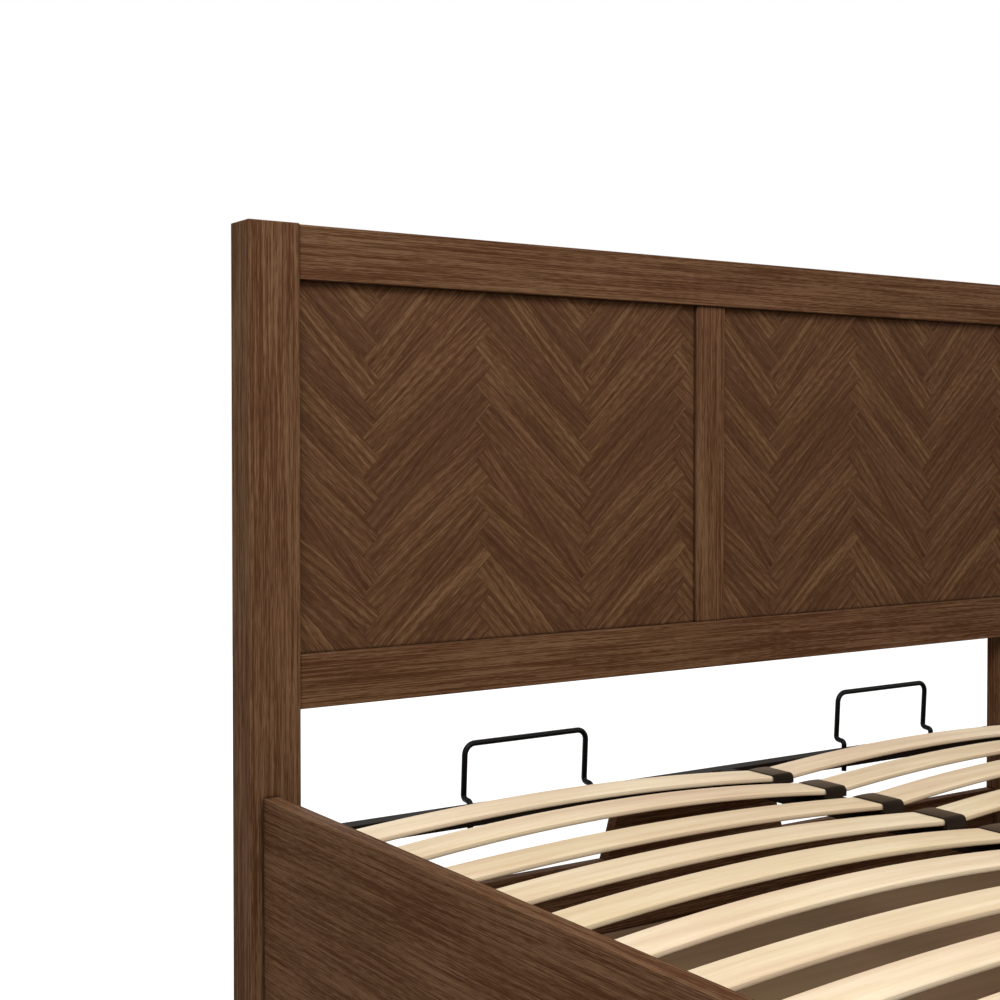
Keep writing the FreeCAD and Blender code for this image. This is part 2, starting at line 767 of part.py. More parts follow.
def left_strut_cylinder():
    """Pressure tube of the gas strut with its lower eye, bored for the rod."""
    base = eye_neck
    mouth = base + strut_stroke + cylinder_spare_length
    barrel = rod_between(Vector(0, 0, base), Vector(0, 0, mouth), cylinder_radius)
    bore = rod_between(Vector(0, 0, base + cylinder_end_thickness), Vector(0, 0, mouth + cut_overrun),
                       rod_radius + running_clearance)
    return placed_strut(barrel.fuse(strut_eye(0, 0, base)).removeSplitter().cut(bore))


def left_strut_rod():
    """Piston rod of the gas strut with its upper eye."""
    rod_low = eye_neck + cylinder_end_thickness + rod_stop_gap
    top = strut_closed
    rod = rod_between(Vector(0, 0, rod_low), Vector(0, 0, top - eye_neck), rod_radius)
    return placed_strut(rod.fuse(strut_eye(top, top - eye_neck, top)).removeSplitter())


# All nodes by name

def all_nodes():
    """Every named piece, as a list of solids."""
    left_side = {
        "head_post": left_head_post(),
        "herringbone_panel": left_panel(),
        "side_rail": left_side_rail(),
        "foot_post": left_foot_post(),
        "hinge_plate": left_hinge_plate(),
        "strut_cylinder": left_strut_cylinder(),
        "strut_rod": left_strut_rod(),
        "strut_bracket": left_strut_bracket(),
    }
    nodes = {}
    for name, shape in left_side.items():
        nodes["left_" + name] = [shape]
        nodes["right_" + name] = [other_side(shape)]
    side_tubes = left_side_tubes()
    nodes["left_side_tubes"] = side_tubes
    nodes["right_side_tubes"] = [other_side(tube) for tube in side_tubes]
    nodes["top_rail"] = [head_rail(top_rail_bottom, top_rail_top, top_rail_bottom, top_rail_bottom + groove_depth)]
    nodes["bottom_rail"] = [head_rail(bottom_rail_bottom, bottom_rail_top,
                                      bottom_rail_top - groove_depth, bottom_rail_top)]
    nodes["centre_mullion"] = [centre_mullion()]
    nodes["head_end_board"] = [head_end_board()]
    nodes["foot_board"] = [foot_board()]
    nodes["floor_glides"] = floor_glides()
    nodes["floor_battens"] = floor_battens()
    nodes["floor_panel_head"] = [floor_panel_head()]
    nodes["floor_panel_foot"] = [floor_panel_foot()]
    nodes["centre_bearer"] = [centre_bearer()]
    nodes["bearer_feet"] = bearer_feet()
    nodes["corner_brackets"] = corner_brackets()
    nodes["platform_rests"] = platform_rests()
    nodes["rest_buffers"] = rest_buffers()
    nodes["pivot_pins"] = pivot_pins()
    nodes["head_tube"] = [head_tube()]
    nodes["foot_tube"] = [cross_tube(platform_foot_y + tube_size / 2)]
    nodes["middle_tubes"] = middle_tubes()
    nodes["centre_tubes"] = lengthways_tubes(0)
    nodes["centre_caps"] = centre_caps()
    nodes["outer_caps"] = outer_caps()
    nodes["left_retainer"] = [retainer_loop(-left_loop_distance, left_jog_start)]
    nodes["right_retainer"] = [retainer_loop(right_loop_distance, right_jog_start)]
    for index, middle_y in enumerate(slat_row_places()):
        nodes["slat_row_%02d" % (index + 1)] = slat_row(middle_y)
    return nodes


def main():
    """Writes one STEP file per node and prints what was built."""
    os.makedirs("parts", exist_ok=True)
    for name, solids in all_nodes().items():
        shape = solids[0] if len(solids) == 1 else Part.makeCompound(solids)
        shape.exportStep("parts/" + name + ".step")
        print(name, len(shape.Solids), "valid" if shape.isValid() else "NOT VALID", round(shape.Volume))
    print("gas strut closed", round(strut_closed, 1), "open", round(strut_open, 1), "stroke", round(strut_stroke, 1))


main()
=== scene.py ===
"""Ottoman bed in stained oak veneer: herringbone headboard, sprung slats and a platform on gas struts."""
import json
import math

import bmesh
import bpy
import numpy as np
from bpy.props import FloatProperty, FloatVectorProperty, PointerProperty
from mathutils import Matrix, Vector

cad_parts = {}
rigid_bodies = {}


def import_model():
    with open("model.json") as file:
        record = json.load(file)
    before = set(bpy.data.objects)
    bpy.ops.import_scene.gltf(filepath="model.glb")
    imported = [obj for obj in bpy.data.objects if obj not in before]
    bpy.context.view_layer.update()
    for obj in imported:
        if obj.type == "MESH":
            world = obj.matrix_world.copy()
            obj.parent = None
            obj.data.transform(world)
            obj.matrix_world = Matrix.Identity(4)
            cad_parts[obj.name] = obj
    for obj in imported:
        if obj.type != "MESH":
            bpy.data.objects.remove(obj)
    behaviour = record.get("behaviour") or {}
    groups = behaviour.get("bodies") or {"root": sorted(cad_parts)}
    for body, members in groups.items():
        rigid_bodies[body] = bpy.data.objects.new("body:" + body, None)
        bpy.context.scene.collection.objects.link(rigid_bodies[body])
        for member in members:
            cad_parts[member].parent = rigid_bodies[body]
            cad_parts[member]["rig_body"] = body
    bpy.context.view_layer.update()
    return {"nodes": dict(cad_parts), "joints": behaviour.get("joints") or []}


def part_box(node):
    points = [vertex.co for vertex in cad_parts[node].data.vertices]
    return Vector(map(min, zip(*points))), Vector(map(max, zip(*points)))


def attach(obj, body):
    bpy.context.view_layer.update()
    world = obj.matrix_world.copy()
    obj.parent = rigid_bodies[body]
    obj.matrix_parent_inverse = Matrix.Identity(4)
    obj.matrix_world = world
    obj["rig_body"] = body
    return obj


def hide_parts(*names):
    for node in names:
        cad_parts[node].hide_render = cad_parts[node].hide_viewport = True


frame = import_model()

bl_info = {
    "name": "Ottoman bed finishes",
    "version": (1, 0, 0),
    "blender": (4, 5, 0),
    "location": "View3D > Sidebar > Ottoman bed",
    "description": "Dresses the packed bed: veneers, herringbone panels, sprung slats, caps and fasteners",
    "category": "Object",
}

MM = 0.001
ROOT_2 = math.sqrt(2)
SHARP_ANGLE = math.radians(40)
SAME_PLACE = 1e-6

# Seeds of the random draws, and how far slats bow beyond the solids' own bow

PLANK_SEED = 86030
BOW_SEED = 203415
SLAT_TONE_SEED = 5
BOW_RANGE_MM = (-1.5, 5.5)

# Half the wall between a double cap's pockets, and the gap from there to a slat's end

HALF_WEB = 2.5 * MM
SLAT_END_GAP = 0.9 * MM


# Small helpers for meshes

def new_piece(name, points, faces, smooth=True):
    """Makes a mesh object from an array of points and a list of faces."""
    mesh = bpy.data.meshes.new(name)
    mesh.from_pydata(np.asarray(points, float).tolist(), [], faces)
    mesh.update()
    piece = bpy.data.objects.new(name, mesh)
    bpy.context.scene.collection.objects.link(piece)
    mesh.polygons.foreach_set("use_smooth", np.full(len(mesh.polygons), smooth))
    if smooth:
        mesh.set_sharp_from_angle(angle=SHARP_ANGLE)
    return piece


def tube_faces(rings, around):
    """Quads between successive rings of a closed outline, and one many-sided face on each end ring."""
    ring, side = np.meshgrid(np.arange(rings - 1), np.arange(around), indexing="ij")
    corner = ring * around + side
    beside = ring * around + (side + 1) % around
    quads = np.stack([corner, beside, beside + around, corner + around], axis=-1).reshape(-1, 4)
    last = (rings - 1) * around
    return quads.tolist() + [list(range(around - 1, -1, -1)), list(range(last, last + around))]


def rounded_outline(half_width, low, high, low_radius, high_radius, steps=6):
    """Points of a rectangle with rounded corners, counter-clockwise in (y, z).

    Each corner is a quarter circle: its centre plus the radius times (cos, sin) of an even fan of angles.
    """
    quarter = math.pi / 2
    fan = np.linspace(0, quarter, steps)
    points = []
    for corner, (y_side, z_side) in enumerate(((1, -1), (1, 1), (-1, 1), (-1, -1))):
        z, radius = (high, high_radius) if z_side > 0 else (low, low_radius)
        centre = np.array([y_side * (half_width - radius), z - z_side * radius])
        angle = (corner - 1) * quarter + fan
        points.append(centre + radius * np.stack([np.cos(angle), np.sin(angle)], axis=-1))
    return np.concatenate(points)


def joined_piece(name, parts):
    """One smooth object, facing outwards, from several (points, faces) parts."""
    points = []
    faces = []
    count = 0
    for part_points, part_faces in parts:
        points.append(part_points)
        faces += [[index + count for index in face] for face in part_faces]
        count += len(part_points)
    return outward(new_piece(name, np.concatenate(points), faces))


def outward(piece):
    """Recalculates the normals so that every closed part faces outwards."""
    shape = bmesh.new()
    shape.from_mesh(piece.data)
    bmesh.ops.recalc_face_normals(shape, faces=shape.faces)
    shape.to_mesh(piece.data)
    shape.free()
    return piece


# Small helpers for materials

def linear(hex_colour):
    """Turns an sRGB hex colour into linear red, green, blue and alpha."""
    channels = [int(hex_colour[place:place + 2], 16) / 255 for place in (1, 3, 5)]
    return [c / 12.92 if c <= 0.04045 else ((c + 0.055) / 1.055) ** 2.4 for c in channels] + [1.0]


def shaded(colour, share):
    """A linear colour made darker or lighter by one factor."""
    return [min(channel * share, 1.0) for channel in colour[:3]] + [1.0]


def fill(tree, node, inputs):
    """Links sockets or whole nodes to a node's inputs, and sets other values on the inputs themselves."""
    for key, value in inputs.items():
        if isinstance(value, bpy.types.Node):
            value = value.outputs[0]
        if isinstance(value, bpy.types.NodeSocket):
            tree.links.new(value, node.inputs[key])
        else:
            node.inputs[key].default_value = value


def add(tree, kind, inputs=(), **settings):
    """Adds one shader node, whose kind may name its operation too, with its properties and inputs."""
    kind, *operation = kind.split()
    new = tree.nodes.new("ShaderNode" + kind)
    for key, value in (*zip(["operation"], operation), *settings.items()):
        setattr(new, key, value)
    fill(tree, new, inputs if isinstance(inputs, dict) else dict(enumerate(inputs)))
    return new


def new_material(name):
    """A material with an empty tree that holds only its surface shader and output."""
    material = bpy.data.materials.new(name)
    material.use_nodes = True
    tree = material.node_tree
    tree.nodes.clear()
    shader = add(tree, "BsdfPrincipled")
    add(tree, "OutputMaterial", {"Surface": shader.outputs[0]})
    return material, tree, shader


def dress(piece, material):
    """Gives a piece its one material."""
    piece.data.materials.clear()
    piece.data.materials.append(material)


def stretched(tree, source, lengths_mm):
    """A vector in which one unit is the given number of millimetres along each axis."""
    scale = [1 / (length * MM) for length in lengths_mm]
    return add(tree, "VectorMath MULTIPLY", (source, scale)).outputs[0]


def noise(tree, source, lengths_mm, detail=2.0, roughness=0.5):
    """A grey noise around one half, whose blobs are about the given number of millimetres along each axis."""
    vector = stretched(tree, source, lengths_mm)
    inputs = {"Vector": vector, "Scale": 1.0, "Detail": detail, "Roughness": roughness}
    return add(tree, "TexNoise", inputs).outputs[0]


def retoned(tree, colour, tone, **lines):
    """Shifts a colour's hue, saturation or value along lines of the tone, each a slope and a start."""
    inputs = {"Color": colour}
    for name, (slope, start) in lines.items():
        inputs[name.capitalize()] = add(tree, "Math MULTIPLY_ADD", (tone, slope, start))
    return add(tree, "HueSaturation", inputs).outputs[0]


def wood_grain(tree, source, wood, boldness):
    """Figure of sliced wood whose grain runs along the source's first axis.

    Streaks are noise drawn out along the grain. The growth figure is a sine of the way across the grain,
    pushed about by a slow noise, which closes it into tall arches. Pores are the peaks of a fine noise in
    short dashes. Returns the tone from dark to light, the pore mask and a height.
    """
    layers = {}
    for layer, detail, roughness in (("streak", 2.0, 0.6), ("fine", 2.0, 0.5), ("cloud", 1.0, 0.5),
                                     ("warp", 1.0, 0.5), ("pore", 1.0, 0.5)):
        long, wide, _ = wood[layer]
        layers[layer] = noise(tree, source, (long, wide, wide), detail, roughness)
    parts = add(tree, "SeparateXYZ", {0: source}).outputs
    # The way across the grain is slanted between the other two axes, so that rings show on both kinds of face
    sideways = [add(tree, "Math MULTIPLY", (parts[axis], lean)) for axis, lean in ((1, 0.8), (2, 0.6))]
    way = add(tree, "Math ADD", sideways)
    push = add(tree, "Math MULTIPLY", (layers["warp"], wood["warp"][-1]))
    turns = add(tree, "Math MULTIPLY_ADD", (way, 2 * math.pi / (wood["ring"][0] * MM), push))
    layers["ring"] = add(tree, "Math SINE", [turns])
    tone = add(tree, "Math MULTIPLY", (layers["fine"], wood["fine"][-1]))
    for layer in ("streak", "cloud", "ring"):
        tone = add(tree, "Math MULTIPLY_ADD", (layers[layer], wood[layer][-1], tone))
    whole = wood["streak"][-1] + wood["fine"][-1] + wood["cloud"][-1]
    tone = add(tree, "Math MULTIPLY", (add(tree, "Math SUBTRACT", (tone, whole / 2)), wood["contrast"]))
    tone = add(tree, "Math MULTIPLY_ADD", (tone, boldness, 0.5), use_clamp=True)
    peaks = add(tree, "Math SUBTRACT", (layers["pore"], wood["pore"][-1]), use_clamp=True)
    pore = add(tree, "Math MULTIPLY", (peaks, PORE_STEEPNESS), use_clamp=True)
    return tone, pore, add(tree, "Math SUBTRACT", (tone, pore))


# Each layer of the figure: its length and width in mm, and its share of the tone. A warp's third number is
# how far it pushes the rings, and a pore layer's the level where pores begin. Rings have spacing and share.

WALNUT_STAINED_OAK = {
    "streak": (130.0, 1.35, 1.3), "fine": (20.0, 0.8, 0.9), "cloud": (260.0, 22.0, 0.5),
    "warp": (260.0, 50.0, 14.0), "pore": (22.0, 0.8, 0.57), "ring": (8.0, 0.05), "contrast": 2.7,
    "hue_drift": 0.014,
}
HERRINGBONE_OAK = {
    "streak": (150.0, 2.5, 0.9), "fine": (14.0, 1.2, 0.9), "cloud": (160.0, 20.0, 0.5),
    "warp": (120.0, 30.0, 9.0), "pore": (34.0, 1.3, 0.56), "ring": (9.0, 0.08), "contrast": 1.9,
    "hue_drift": 0.016,
}
BIRCH_PLY = {
    "streak": (260.0, 9.0, 0.7), "fine": (60.0, 1.6, 0.3), "cloud": (300.0, 70.0, 0.8),
    "warp": (400.0, 70.0, 9.0), "pore": (30.0, 1.2, 0.66), "ring": (24.0, 0.08), "contrast": 1.1,
    "hue_drift": 0.036,
}

# How pores, painted highlights along edges, slow changes of hue and painted shade in crevices show on every
# wood

PORE_STEEPNESS = 9.0
PORE_DARKNESS = 0.55
EDGE_REACH_MM = 1.6
EDGE_HIGHLIGHT_SHARE = 0.45
HUE_CLOUD_MM = (340.0, 70.0, 70.0)
CREVICE_REACH_MM = 4.5
PAINTED_CREVICE_SHADE = 0.12


def painted_edge_highlight(tree):
    """One along an edge, where the normal averaged over a small reach leans away from the face's own: the
    mask of a painted highlight.
    """
    soft = add(tree, "Bevel", {"Radius": EDGE_REACH_MM * MM}, samples=4).outputs[0]
    own = add(tree, "NewGeometry").outputs["Normal"]
    agreement = add(tree, "VectorMath DOT_PRODUCT", (soft, own)).outputs["Value"]
    return add(tree, "Math MULTIPLY", (add(tree, "Math SUBTRACT", (1.0, agreement)), 8.0), use_clamp=True)


def painted_crevice_shade(tree):
    """One deep in a corner, where near surfaces close off the open air, and none on open faces: the mask of
    painted shade.
    """
    reach = CREVICE_REACH_MM * MM
    openness = add(tree, "AmbientOcclusion", {"Distance": reach}, samples=4).outputs["AO"]
    return add(tree, "Math MULTIPLY", (add(tree, "Math SUBTRACT", (1.0, openness)), 1.5), use_clamp=True)


def wood_shader(tree, shader, source, wood, colours, roughness, tint=None, boldness=1.0):
    """Colours the grain from dark through middle to light, darkens the pores, paints a pale highlight along
    edges and shade into crevices, and sets a satin sheen.
    """
    tone, pore, height = wood_grain(tree, source, wood, boldness)
    dark, middle, light = colours
    share = add(tree, "Math MULTIPLY", (tone, 2.0), use_clamp=True)
    low = add(tree, "Mix", {0: share, 6: dark, 7: middle}, data_type="RGBA").outputs[2]
    share = add(tree, "Math MULTIPLY_ADD", (tone, 2.0, -1.0), use_clamp=True)
    colour = add(tree, "Mix", {0: share, 6: low, 7: light}, data_type="RGBA").outputs[2]
    share = add(tree, "Math MULTIPLY", (pore, PORE_DARKNESS))
    colour = add(tree, "Mix", {0: share, 6: colour, 7: dark}, data_type="RGBA").outputs[2]
    if tint:
        colour = tint(colour)
    # Painted highlight: edges are mixed towards the light tone, standing in for light catching them.
    share = add(tree, "Math MULTIPLY", (painted_edge_highlight(tree), EDGE_HIGHLIGHT_SHARE))
    colour = add(tree, "Mix", {0: share, 6: colour, 7: light}, data_type="RGBA").outputs[2]
    drift = noise(tree, source, HUE_CLOUD_MM)
    colour = retoned(tree, colour, drift, hue=(wood["hue_drift"], 0.5 - 0.55 * wood["hue_drift"]))
    # Painted shade: corners and recesses are mixed towards a near-black brown, standing in for the shadow
    # under rails and beside posts.
    shadow = shaded(dark, PAINTED_CREVICE_SHADE)
    colour = add(tree, "Mix", {0: painted_crevice_shade(tree), 6: colour, 7: shadow}, data_type="RGBA").outputs[2]
    bump = add(tree, "Bump", {"Strength": 0.35, "Distance": 0.25 * MM, "Height": height})
    sheen = add(tree, "Math MULTIPLY_ADD", (tone, -0.1, roughness))
    fill(tree, shader, {"Base Color": colour, "Roughness": sheen,
                        "Normal": bump.outputs[0], "IOR": 1.46, "Specular IOR Level": 0.008})


def turned_axes(tree, grain_axis):
    """Object coordinates with the grain's axis put first."""
    parts = add(tree, "SeparateXYZ", {0: add(tree, "TexCoord").outputs["Object"]}).outputs
    order = {"X": (0, 1, 2), "Y": (1, 2, 0), "Z": (2, 0, 1)}[grain_axis]
    return add(tree, "CombineXYZ", {place: parts[axis] for place, axis in enumerate(order)}).outputs[0]


# Sizes and colours that a user would change

def length(name, millimetres, description):
    """A length property with its default in metres."""
    return FloatProperty(name=name, description=description, default=millimetres * MM, min=0.0,
                         unit="LENGTH", subtype="DISTANCE", precision=4)


def finish(name, hex_colour, description):
    """A colour property with its default turned to linear."""
    return FloatVectorProperty(name=name, description=description, default=linear(hex_colour), size=4,
                               min=0.0, max=1.0, subtype="COLOR")


class BedSizes(bpy.types.PropertyGroup):
    """Lengths of the detail that dresses the frame."""

    plank_length: length("Plank length", 244.6, "Length of a herringbone plank")
    plank_width: length("Plank width", 36.0, "Width of a herringbone plank")
    plank_thickness: length("Plank thickness", 0.8, "How far planks stand proud of their core")
    plank_gap: length("Plank gap", 0.2, "Open joint between planks")
    valley_distance: length("First valley", 128.5, "From a panel's left edge to the first valley")
    valley_height: length("Valley height", 852.0, "Height of a plank's lower corner in that valley")
    slat_width: length("Slat width", 53.0, "Width of a sprung slat")
    slat_thickness: length("Slat thickness", 8.0, "Thickness of a sprung slat")
    slat_edge: length("Slat edge", 3.4, "Radius along a slat's upper edges")
    slat_lower_edge: length("Slat lower edge", 2.2, "Radius along a slat's lower edges")
    cap_wall: length("Cap wall", 3.0, "Wall of a moulded slat cap")
    cap_height: length("Cap height", 14.5, "Height of a slat cap over the tube")
    cap_round: length("Cap rounding", 8.0, "Radius along a cap's upper edges")
    rod_diameter: length("Loop rod", 8.0, "Diameter of the mattress retainer's rod")
    loop_width: length("Loop width", 201.0, "Distance between the two legs of a retainer loop")
    loop_tail: length("Loop tail", 21.0, "A leg's reach below the tube plus its jog's height above it")
    loop_lean: length("Loop lean", 4.0, "How far a loop's top leans forward again")
    loop_bend: length("Loop bend", 15.0, "Radius of a loop's two upper bends")
    jog_bend: length("Jog bend", 5.5, "Radius of the bends of a leg's jog")
    jog_rise: length("Jog rise", 2.0, "How far a leg rises along its jog")


class BedColours(bpy.types.PropertyGroup):
    """Colours of the finishes."""

    frame_dark: finish("Frame dark", "#492d1c", "Dark streaks of the stained frame veneer")
    frame_middle: finish("Frame middle", "#5b402c", "Middle tone of the stained frame veneer")
    frame_light: finish("Frame light", "#70533c", "Light streaks of the stained frame veneer")
    plank_dark: finish("Plank dark", "#432b1d", "Dark streaks of the herringbone planks")
    plank_middle: finish("Plank middle", "#563b28", "Middle tone of the herringbone planks")
    plank_light: finish("Plank light", "#6e523a", "Light streaks of the herringbone planks")
    slat_dark: finish("Slat dark", "#cbb190", "Dark streaks of the birch slats")
    slat_middle: finish("Slat middle", "#dcc6a5", "Middle tone of the birch slats")
    slat_light: finish("Slat light", "#ead9bd", "Light streaks of the birch slats")
    floor_board: finish("Floor board", "#8a7055", "Brown face of the storage floor")
    pine: finish("Pine", "#c79d66", "Planed pine of battens and bearer")
    black_coat: finish("Black coat", "#1c1611", "Powder coat on tubes and fittings")
    black_mould: finish("Black moulding", "#17120e", "Moulded caps, glides and feet")
    zinc: finish("Zinc", "#c9ccce", "Zinc plate on pins, screws and nuts")


def sizes():
    """The scene's lengths."""
    return bpy.context.scene.bed_sizes


def colour_of(name):
    """One colour of the scene as a plain list."""
    return list(getattr(bpy.context.scene.bed_colours, name))


def tones_of(wood_name):
    """A wood's dark, middle and light colours."""
    return [colour_of(wood_name + tone) for tone in ("_dark", "_middle", "_light")]


# Materials

def frame_veneer(grain_axis):
    """Sliced oak veneer, stained walnut under satin lacquer: long open-pored streaks with a soft sheen."""
    material, tree, shader = new_material("walnut_stained_oak_veneer_" + grain_axis.lower())
    wood_shader(tree, shader, turned_axes(tree, grain_axis), WALNUT_STAINED_OAK, tones_of("frame"), 0.56)
    return material


def herringbone_veneer():
    """The same veneer in planks: pale ones boldly streaked, dark ones redder and even, with fine joints."""
    material, tree, shader = new_material("herringbone_oak_planks")
    grain = add(tree, "UVMap", uv_map="grain").outputs[0]
    share = add(tree, "SeparateXYZ", {0: add(tree, "UVMap", uv_map="plank_shares").outputs[0]}).outputs
    plank_tone = add(tree, "Attribute", attribute_name="board_tone").outputs["Fac"]
    # A real joint is a hair wide, which would not show, so its dark line fades over 0.6 mm on each side
    joint_line = 0.6 * MM
    to_edges = []
    for part, extent in ((share[0], sizes().plank_length), (share[1], sizes().plank_width)):
        off_middle = add(tree, "Math ABSOLUTE", [add(tree, "Math SUBTRACT", (part, 0.5))])
        from_edge = add(tree, "Math SUBTRACT", (0.5, off_middle))
        to_edges.append(add(tree, "Math MULTIPLY", (from_edge, extent / joint_line)))
    joint = add(tree, "Math SUBTRACT", (1.0, add(tree, "Math MINIMUM", to_edges)), use_clamp=True)

    def tint(colour):
        board = retoned(tree, colour, plank_tone, value=(0.26, 0.87), hue=(0.006, 0.498))
        on_joint = add(tree, "Math MULTIPLY", (joint, 0.5))
        dark = shaded(colour_of("plank_dark"), 0.5)
        return add(tree, "Mix", {0: on_joint, 6: board, 7: dark}, data_type="RGBA").outputs[2]

    boldness = add(tree, "Math MULTIPLY_ADD", (plank_tone, 0.5, 0.7))
    wood_shader(tree, shader, grain, HERRINGBONE_OAK, tones_of("plank"), 0.58, tint, boldness)
    return material


def pin_knots(tree):
    """One inside small knots, a few millimetres wide, in a quarter of the cells of a coarse pattern."""
    cell_mm = (150.0, 90.0, 90.0)
    knotty_share = 0.25
    knot_radius_share = 0.024
    place = stretched(tree, add(tree, "TexCoord").outputs["Object"], cell_mm)
    cells = add(tree, "TexVoronoi", {"Vector": place, "Scale": 1.0, "Randomness": 1.0}).outputs
    draw = add(tree, "SeparateColor", [cells["Color"]]).outputs[0]
    chosen = add(tree, "Math LESS_THAN", (draw, knotty_share))
    distance = add(tree, "Math DIVIDE", (cells["Distance"], knot_radius_share))
    near = add(tree, "Math SUBTRACT", (1.0, distance), use_clamp=True)
    return add(tree, "Math MULTIPLY", (chosen, add(tree, "Math MULTIPLY", (near, 3.0), use_clamp=True)))


def birch_slat():
    """Bent birch plywood under clear lacquer: pale, close grain, with the plies' lines along its edges."""
    material, tree, shader = new_material("bent_birch_plywood")
    ply_pitch = 1.3 * MM
    glue_line = 0.22 * ply_pitch
    depth = add(tree, "Attribute", attribute_name="ply_depth").outputs["Fac"]
    line = add(tree, "Math LESS_THAN", (add(tree, "Math PINGPONG", (depth, ply_pitch)), glue_line))
    edge = add(tree, "Attribute", attribute_name="ply_edge").outputs["Fac"]
    on_edge = add(tree, "Math MULTIPLY", (edge, 0.7))
    board_tone = add(tree, "Attribute", attribute_name="board_tone").outputs["Fac"]

    def tint(colour):
        board = retoned(tree, colour, board_tone, value=(0.1, 0.94), saturation=(-0.12, 1.06))
        glue = add(tree, "Mix", {0: 0.4, 6: board, 7: linear("#8a6a48")}, data_type="RGBA").outputs[2]
        share = add(tree, "Math MULTIPLY", (line, on_edge))
        edged = add(tree, "Mix", {0: share, 6: board, 7: glue}, data_type="RGBA").outputs[2]
        knot = add(tree, "Math MULTIPLY", (pin_knots(tree), 0.7))
        return add(tree, "Mix", {0: knot, 6: edged, 7: linear("#8b5a3a")}, data_type="RGBA").outputs[2]

    wood_shader(tree, shader, turned_axes(tree, "X"), BIRCH_PLY, tones_of("slat"), 0.5, tint)
    return material


def plain_wood(name, grain_axis, colour, shares, roughness):
    """A wood or printed board with a quiet figure in shades of one colour."""
    material, tree, shader = new_material(name)
    tones = [shaded(colour, share) for share in shares]
    wood_shader(tree, shader, turned_axes(tree, grain_axis), BIRCH_PLY, tones, roughness)
    return material


def pine():
    """Planed pine, left bare, with its grain along Y: yellow-brown with soft streaks and no shine."""
    return plain_wood("planed_pine_y", "Y", colour_of("pine"), (0.72, 1.0, 1.2), 0.65)


def floor_foil():
    """Hardboard faced with brown printed foil: an even brown with a faint grain along the bed's width."""
    return plain_wood("brown_foil_faced_hardboard", "X", colour_of("floor_board"), (0.86, 1.0, 1.1), 0.62)


def grained_surface(name, hue, roughness, grit_mm, bump, spread, constants):
    """A coloured surface: slow blotches change its tone, and a fine grit its tone, roughness and relief."""
    material, tree, shader = new_material(name)
    source = add(tree, "TexCoord").outputs["Object"]
    grit = noise(tree, source, (grit_mm, grit_mm, grit_mm), roughness=0.6)
    cloud = noise(tree, source, (60.0, 60.0, 60.0))
    tone = add(tree, "Math MULTIPLY_ADD", (cloud, 0.6, add(tree, "Math MULTIPLY", (grit, 0.4))))
    relief = add(tree, "Bump", {"Strength": bump, "Distance": 0.1 * MM, "Height": grit})
    tones = {6: shaded(hue, 1 - spread), 7: shaded(hue, 1 + spread)}
    colour = add(tree, "Mix", {0: tone, **tones}, data_type="RGBA").outputs[2]
    uneven = add(tree, "Math MULTIPLY_ADD", (grit, 0.16, roughness - 0.08))
    fill(tree, shader, {"Base Color": colour, "Roughness": uneven, "Normal": relief.outputs[0], **constants})
    return material


def enamelled_rod():
    """Round steel rod dipped in black enamel and baked: deep black, smooth, with a narrow shine along it."""
    return grained_surface("black_enamelled_rod", linear("#060505"), roughness=0.34, grit_mm=2.4, bump=0.08,
                           spread=0.3, constants={"Specular IOR Level": 0.1})


def powder_coat():
    """Black powder coat on steel, baked: a fine orange-peel skin with a low sheen."""
    return grained_surface("black_powder_coat", colour_of("black_coat"), roughness=0.42, grit_mm=1.6,
                           bump=0.22, spread=0.25, constants={"IOR": 1.5, "Specular IOR Level": 0.004})


def moulded_plastic():
    """Black polypropylene, injection moulded on a spark-eroded texture: dull, paler where light grazes it."""
    constants = {"IOR": 1.49, "Specular IOR Level": 0.01, "Sheen Weight": 0.5, "Sheen Roughness": 0.45,
                 "Sheen Tint": linear("#c8a888")}
    return grained_surface("moulded_black_polypropylene", colour_of("black_mould"), roughness=0.5,
                           grit_mm=0.8, bump=0.35, spread=0.2, constants=constants)


def chromed_steel():
    """Hard chromed piston rod, ground and polished: a bright mirror with a faintly uneven shine."""
    return grained_surface("ground_chromed_steel", linear("#c8cacc"), roughness=0.16, grit_mm=0.6, bump=0.05,
                           spread=0.06, constants={"Metallic": 1.0})


def zinc_plate():
    """Zinc plate on steel fasteners, passivated: grey metal with a dull, slightly blotchy shine."""
    return grained_surface("passivated_zinc_plate", colour_of("zinc"), roughness=0.36, grit_mm=2.0, bump=0.12,
                           spread=0.14, constants={"Metallic": 1.0})


def rubber():
    """Black rubber pads, moulded: matt, with a powdery surface."""
    return grained_surface("moulded_black_rubber", linear("#181716"), roughness=0.78, grit_mm=1.0, bump=0.3,
                           spread=0.2, constants={"IOR": 1.52})


# Geometry of the new pieces

def bowed_slat(start, end, rise, middle_y, base_z):
    """A slat as points and faces, with each point's depth in the plies and whether it lies on an edge.

    A rounded outline is carried along a circular arc, whose radius is (half length squared + rise squared) /
    (2 rise). A point at the angle a lies at middle + (radius + depth) * (sin a, cos a).
    """
    size = sizes()
    half_width = size.slat_width / 2
    outline = rounded_outline(half_width, 0.0, size.slat_thickness, size.slat_lower_edge, size.slat_edge)
    across, depth = outline.T
    half = (end - start) / 2
    radius = (half * half + rise * rise) / (2 * rise)
    along = np.linspace(-1, 1, 33)
    angle = along[:, None] * math.asin(half / radius)
    x = (start + end) / 2 + (radius + depth) * np.sin(angle)
    z = rise - radius + (radius + depth) * np.cos(angle) + base_z
    points = np.stack(np.broadcast_arrays(x, middle_y + across, z), axis=-1).reshape(-1, 3)
    on_edge = np.abs(across) > half_width - size.slat_edge * 0.5
    stores = [np.tile(values, len(along)) for values in (depth, on_edge)]
    return points, tube_faces(len(along), len(outline)), *stores


def slat_rows():
    """Name and box of each CAD slat row."""
    return [(name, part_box(name)) for name in sorted(frame["nodes"]) if name.startswith("slat_row")]


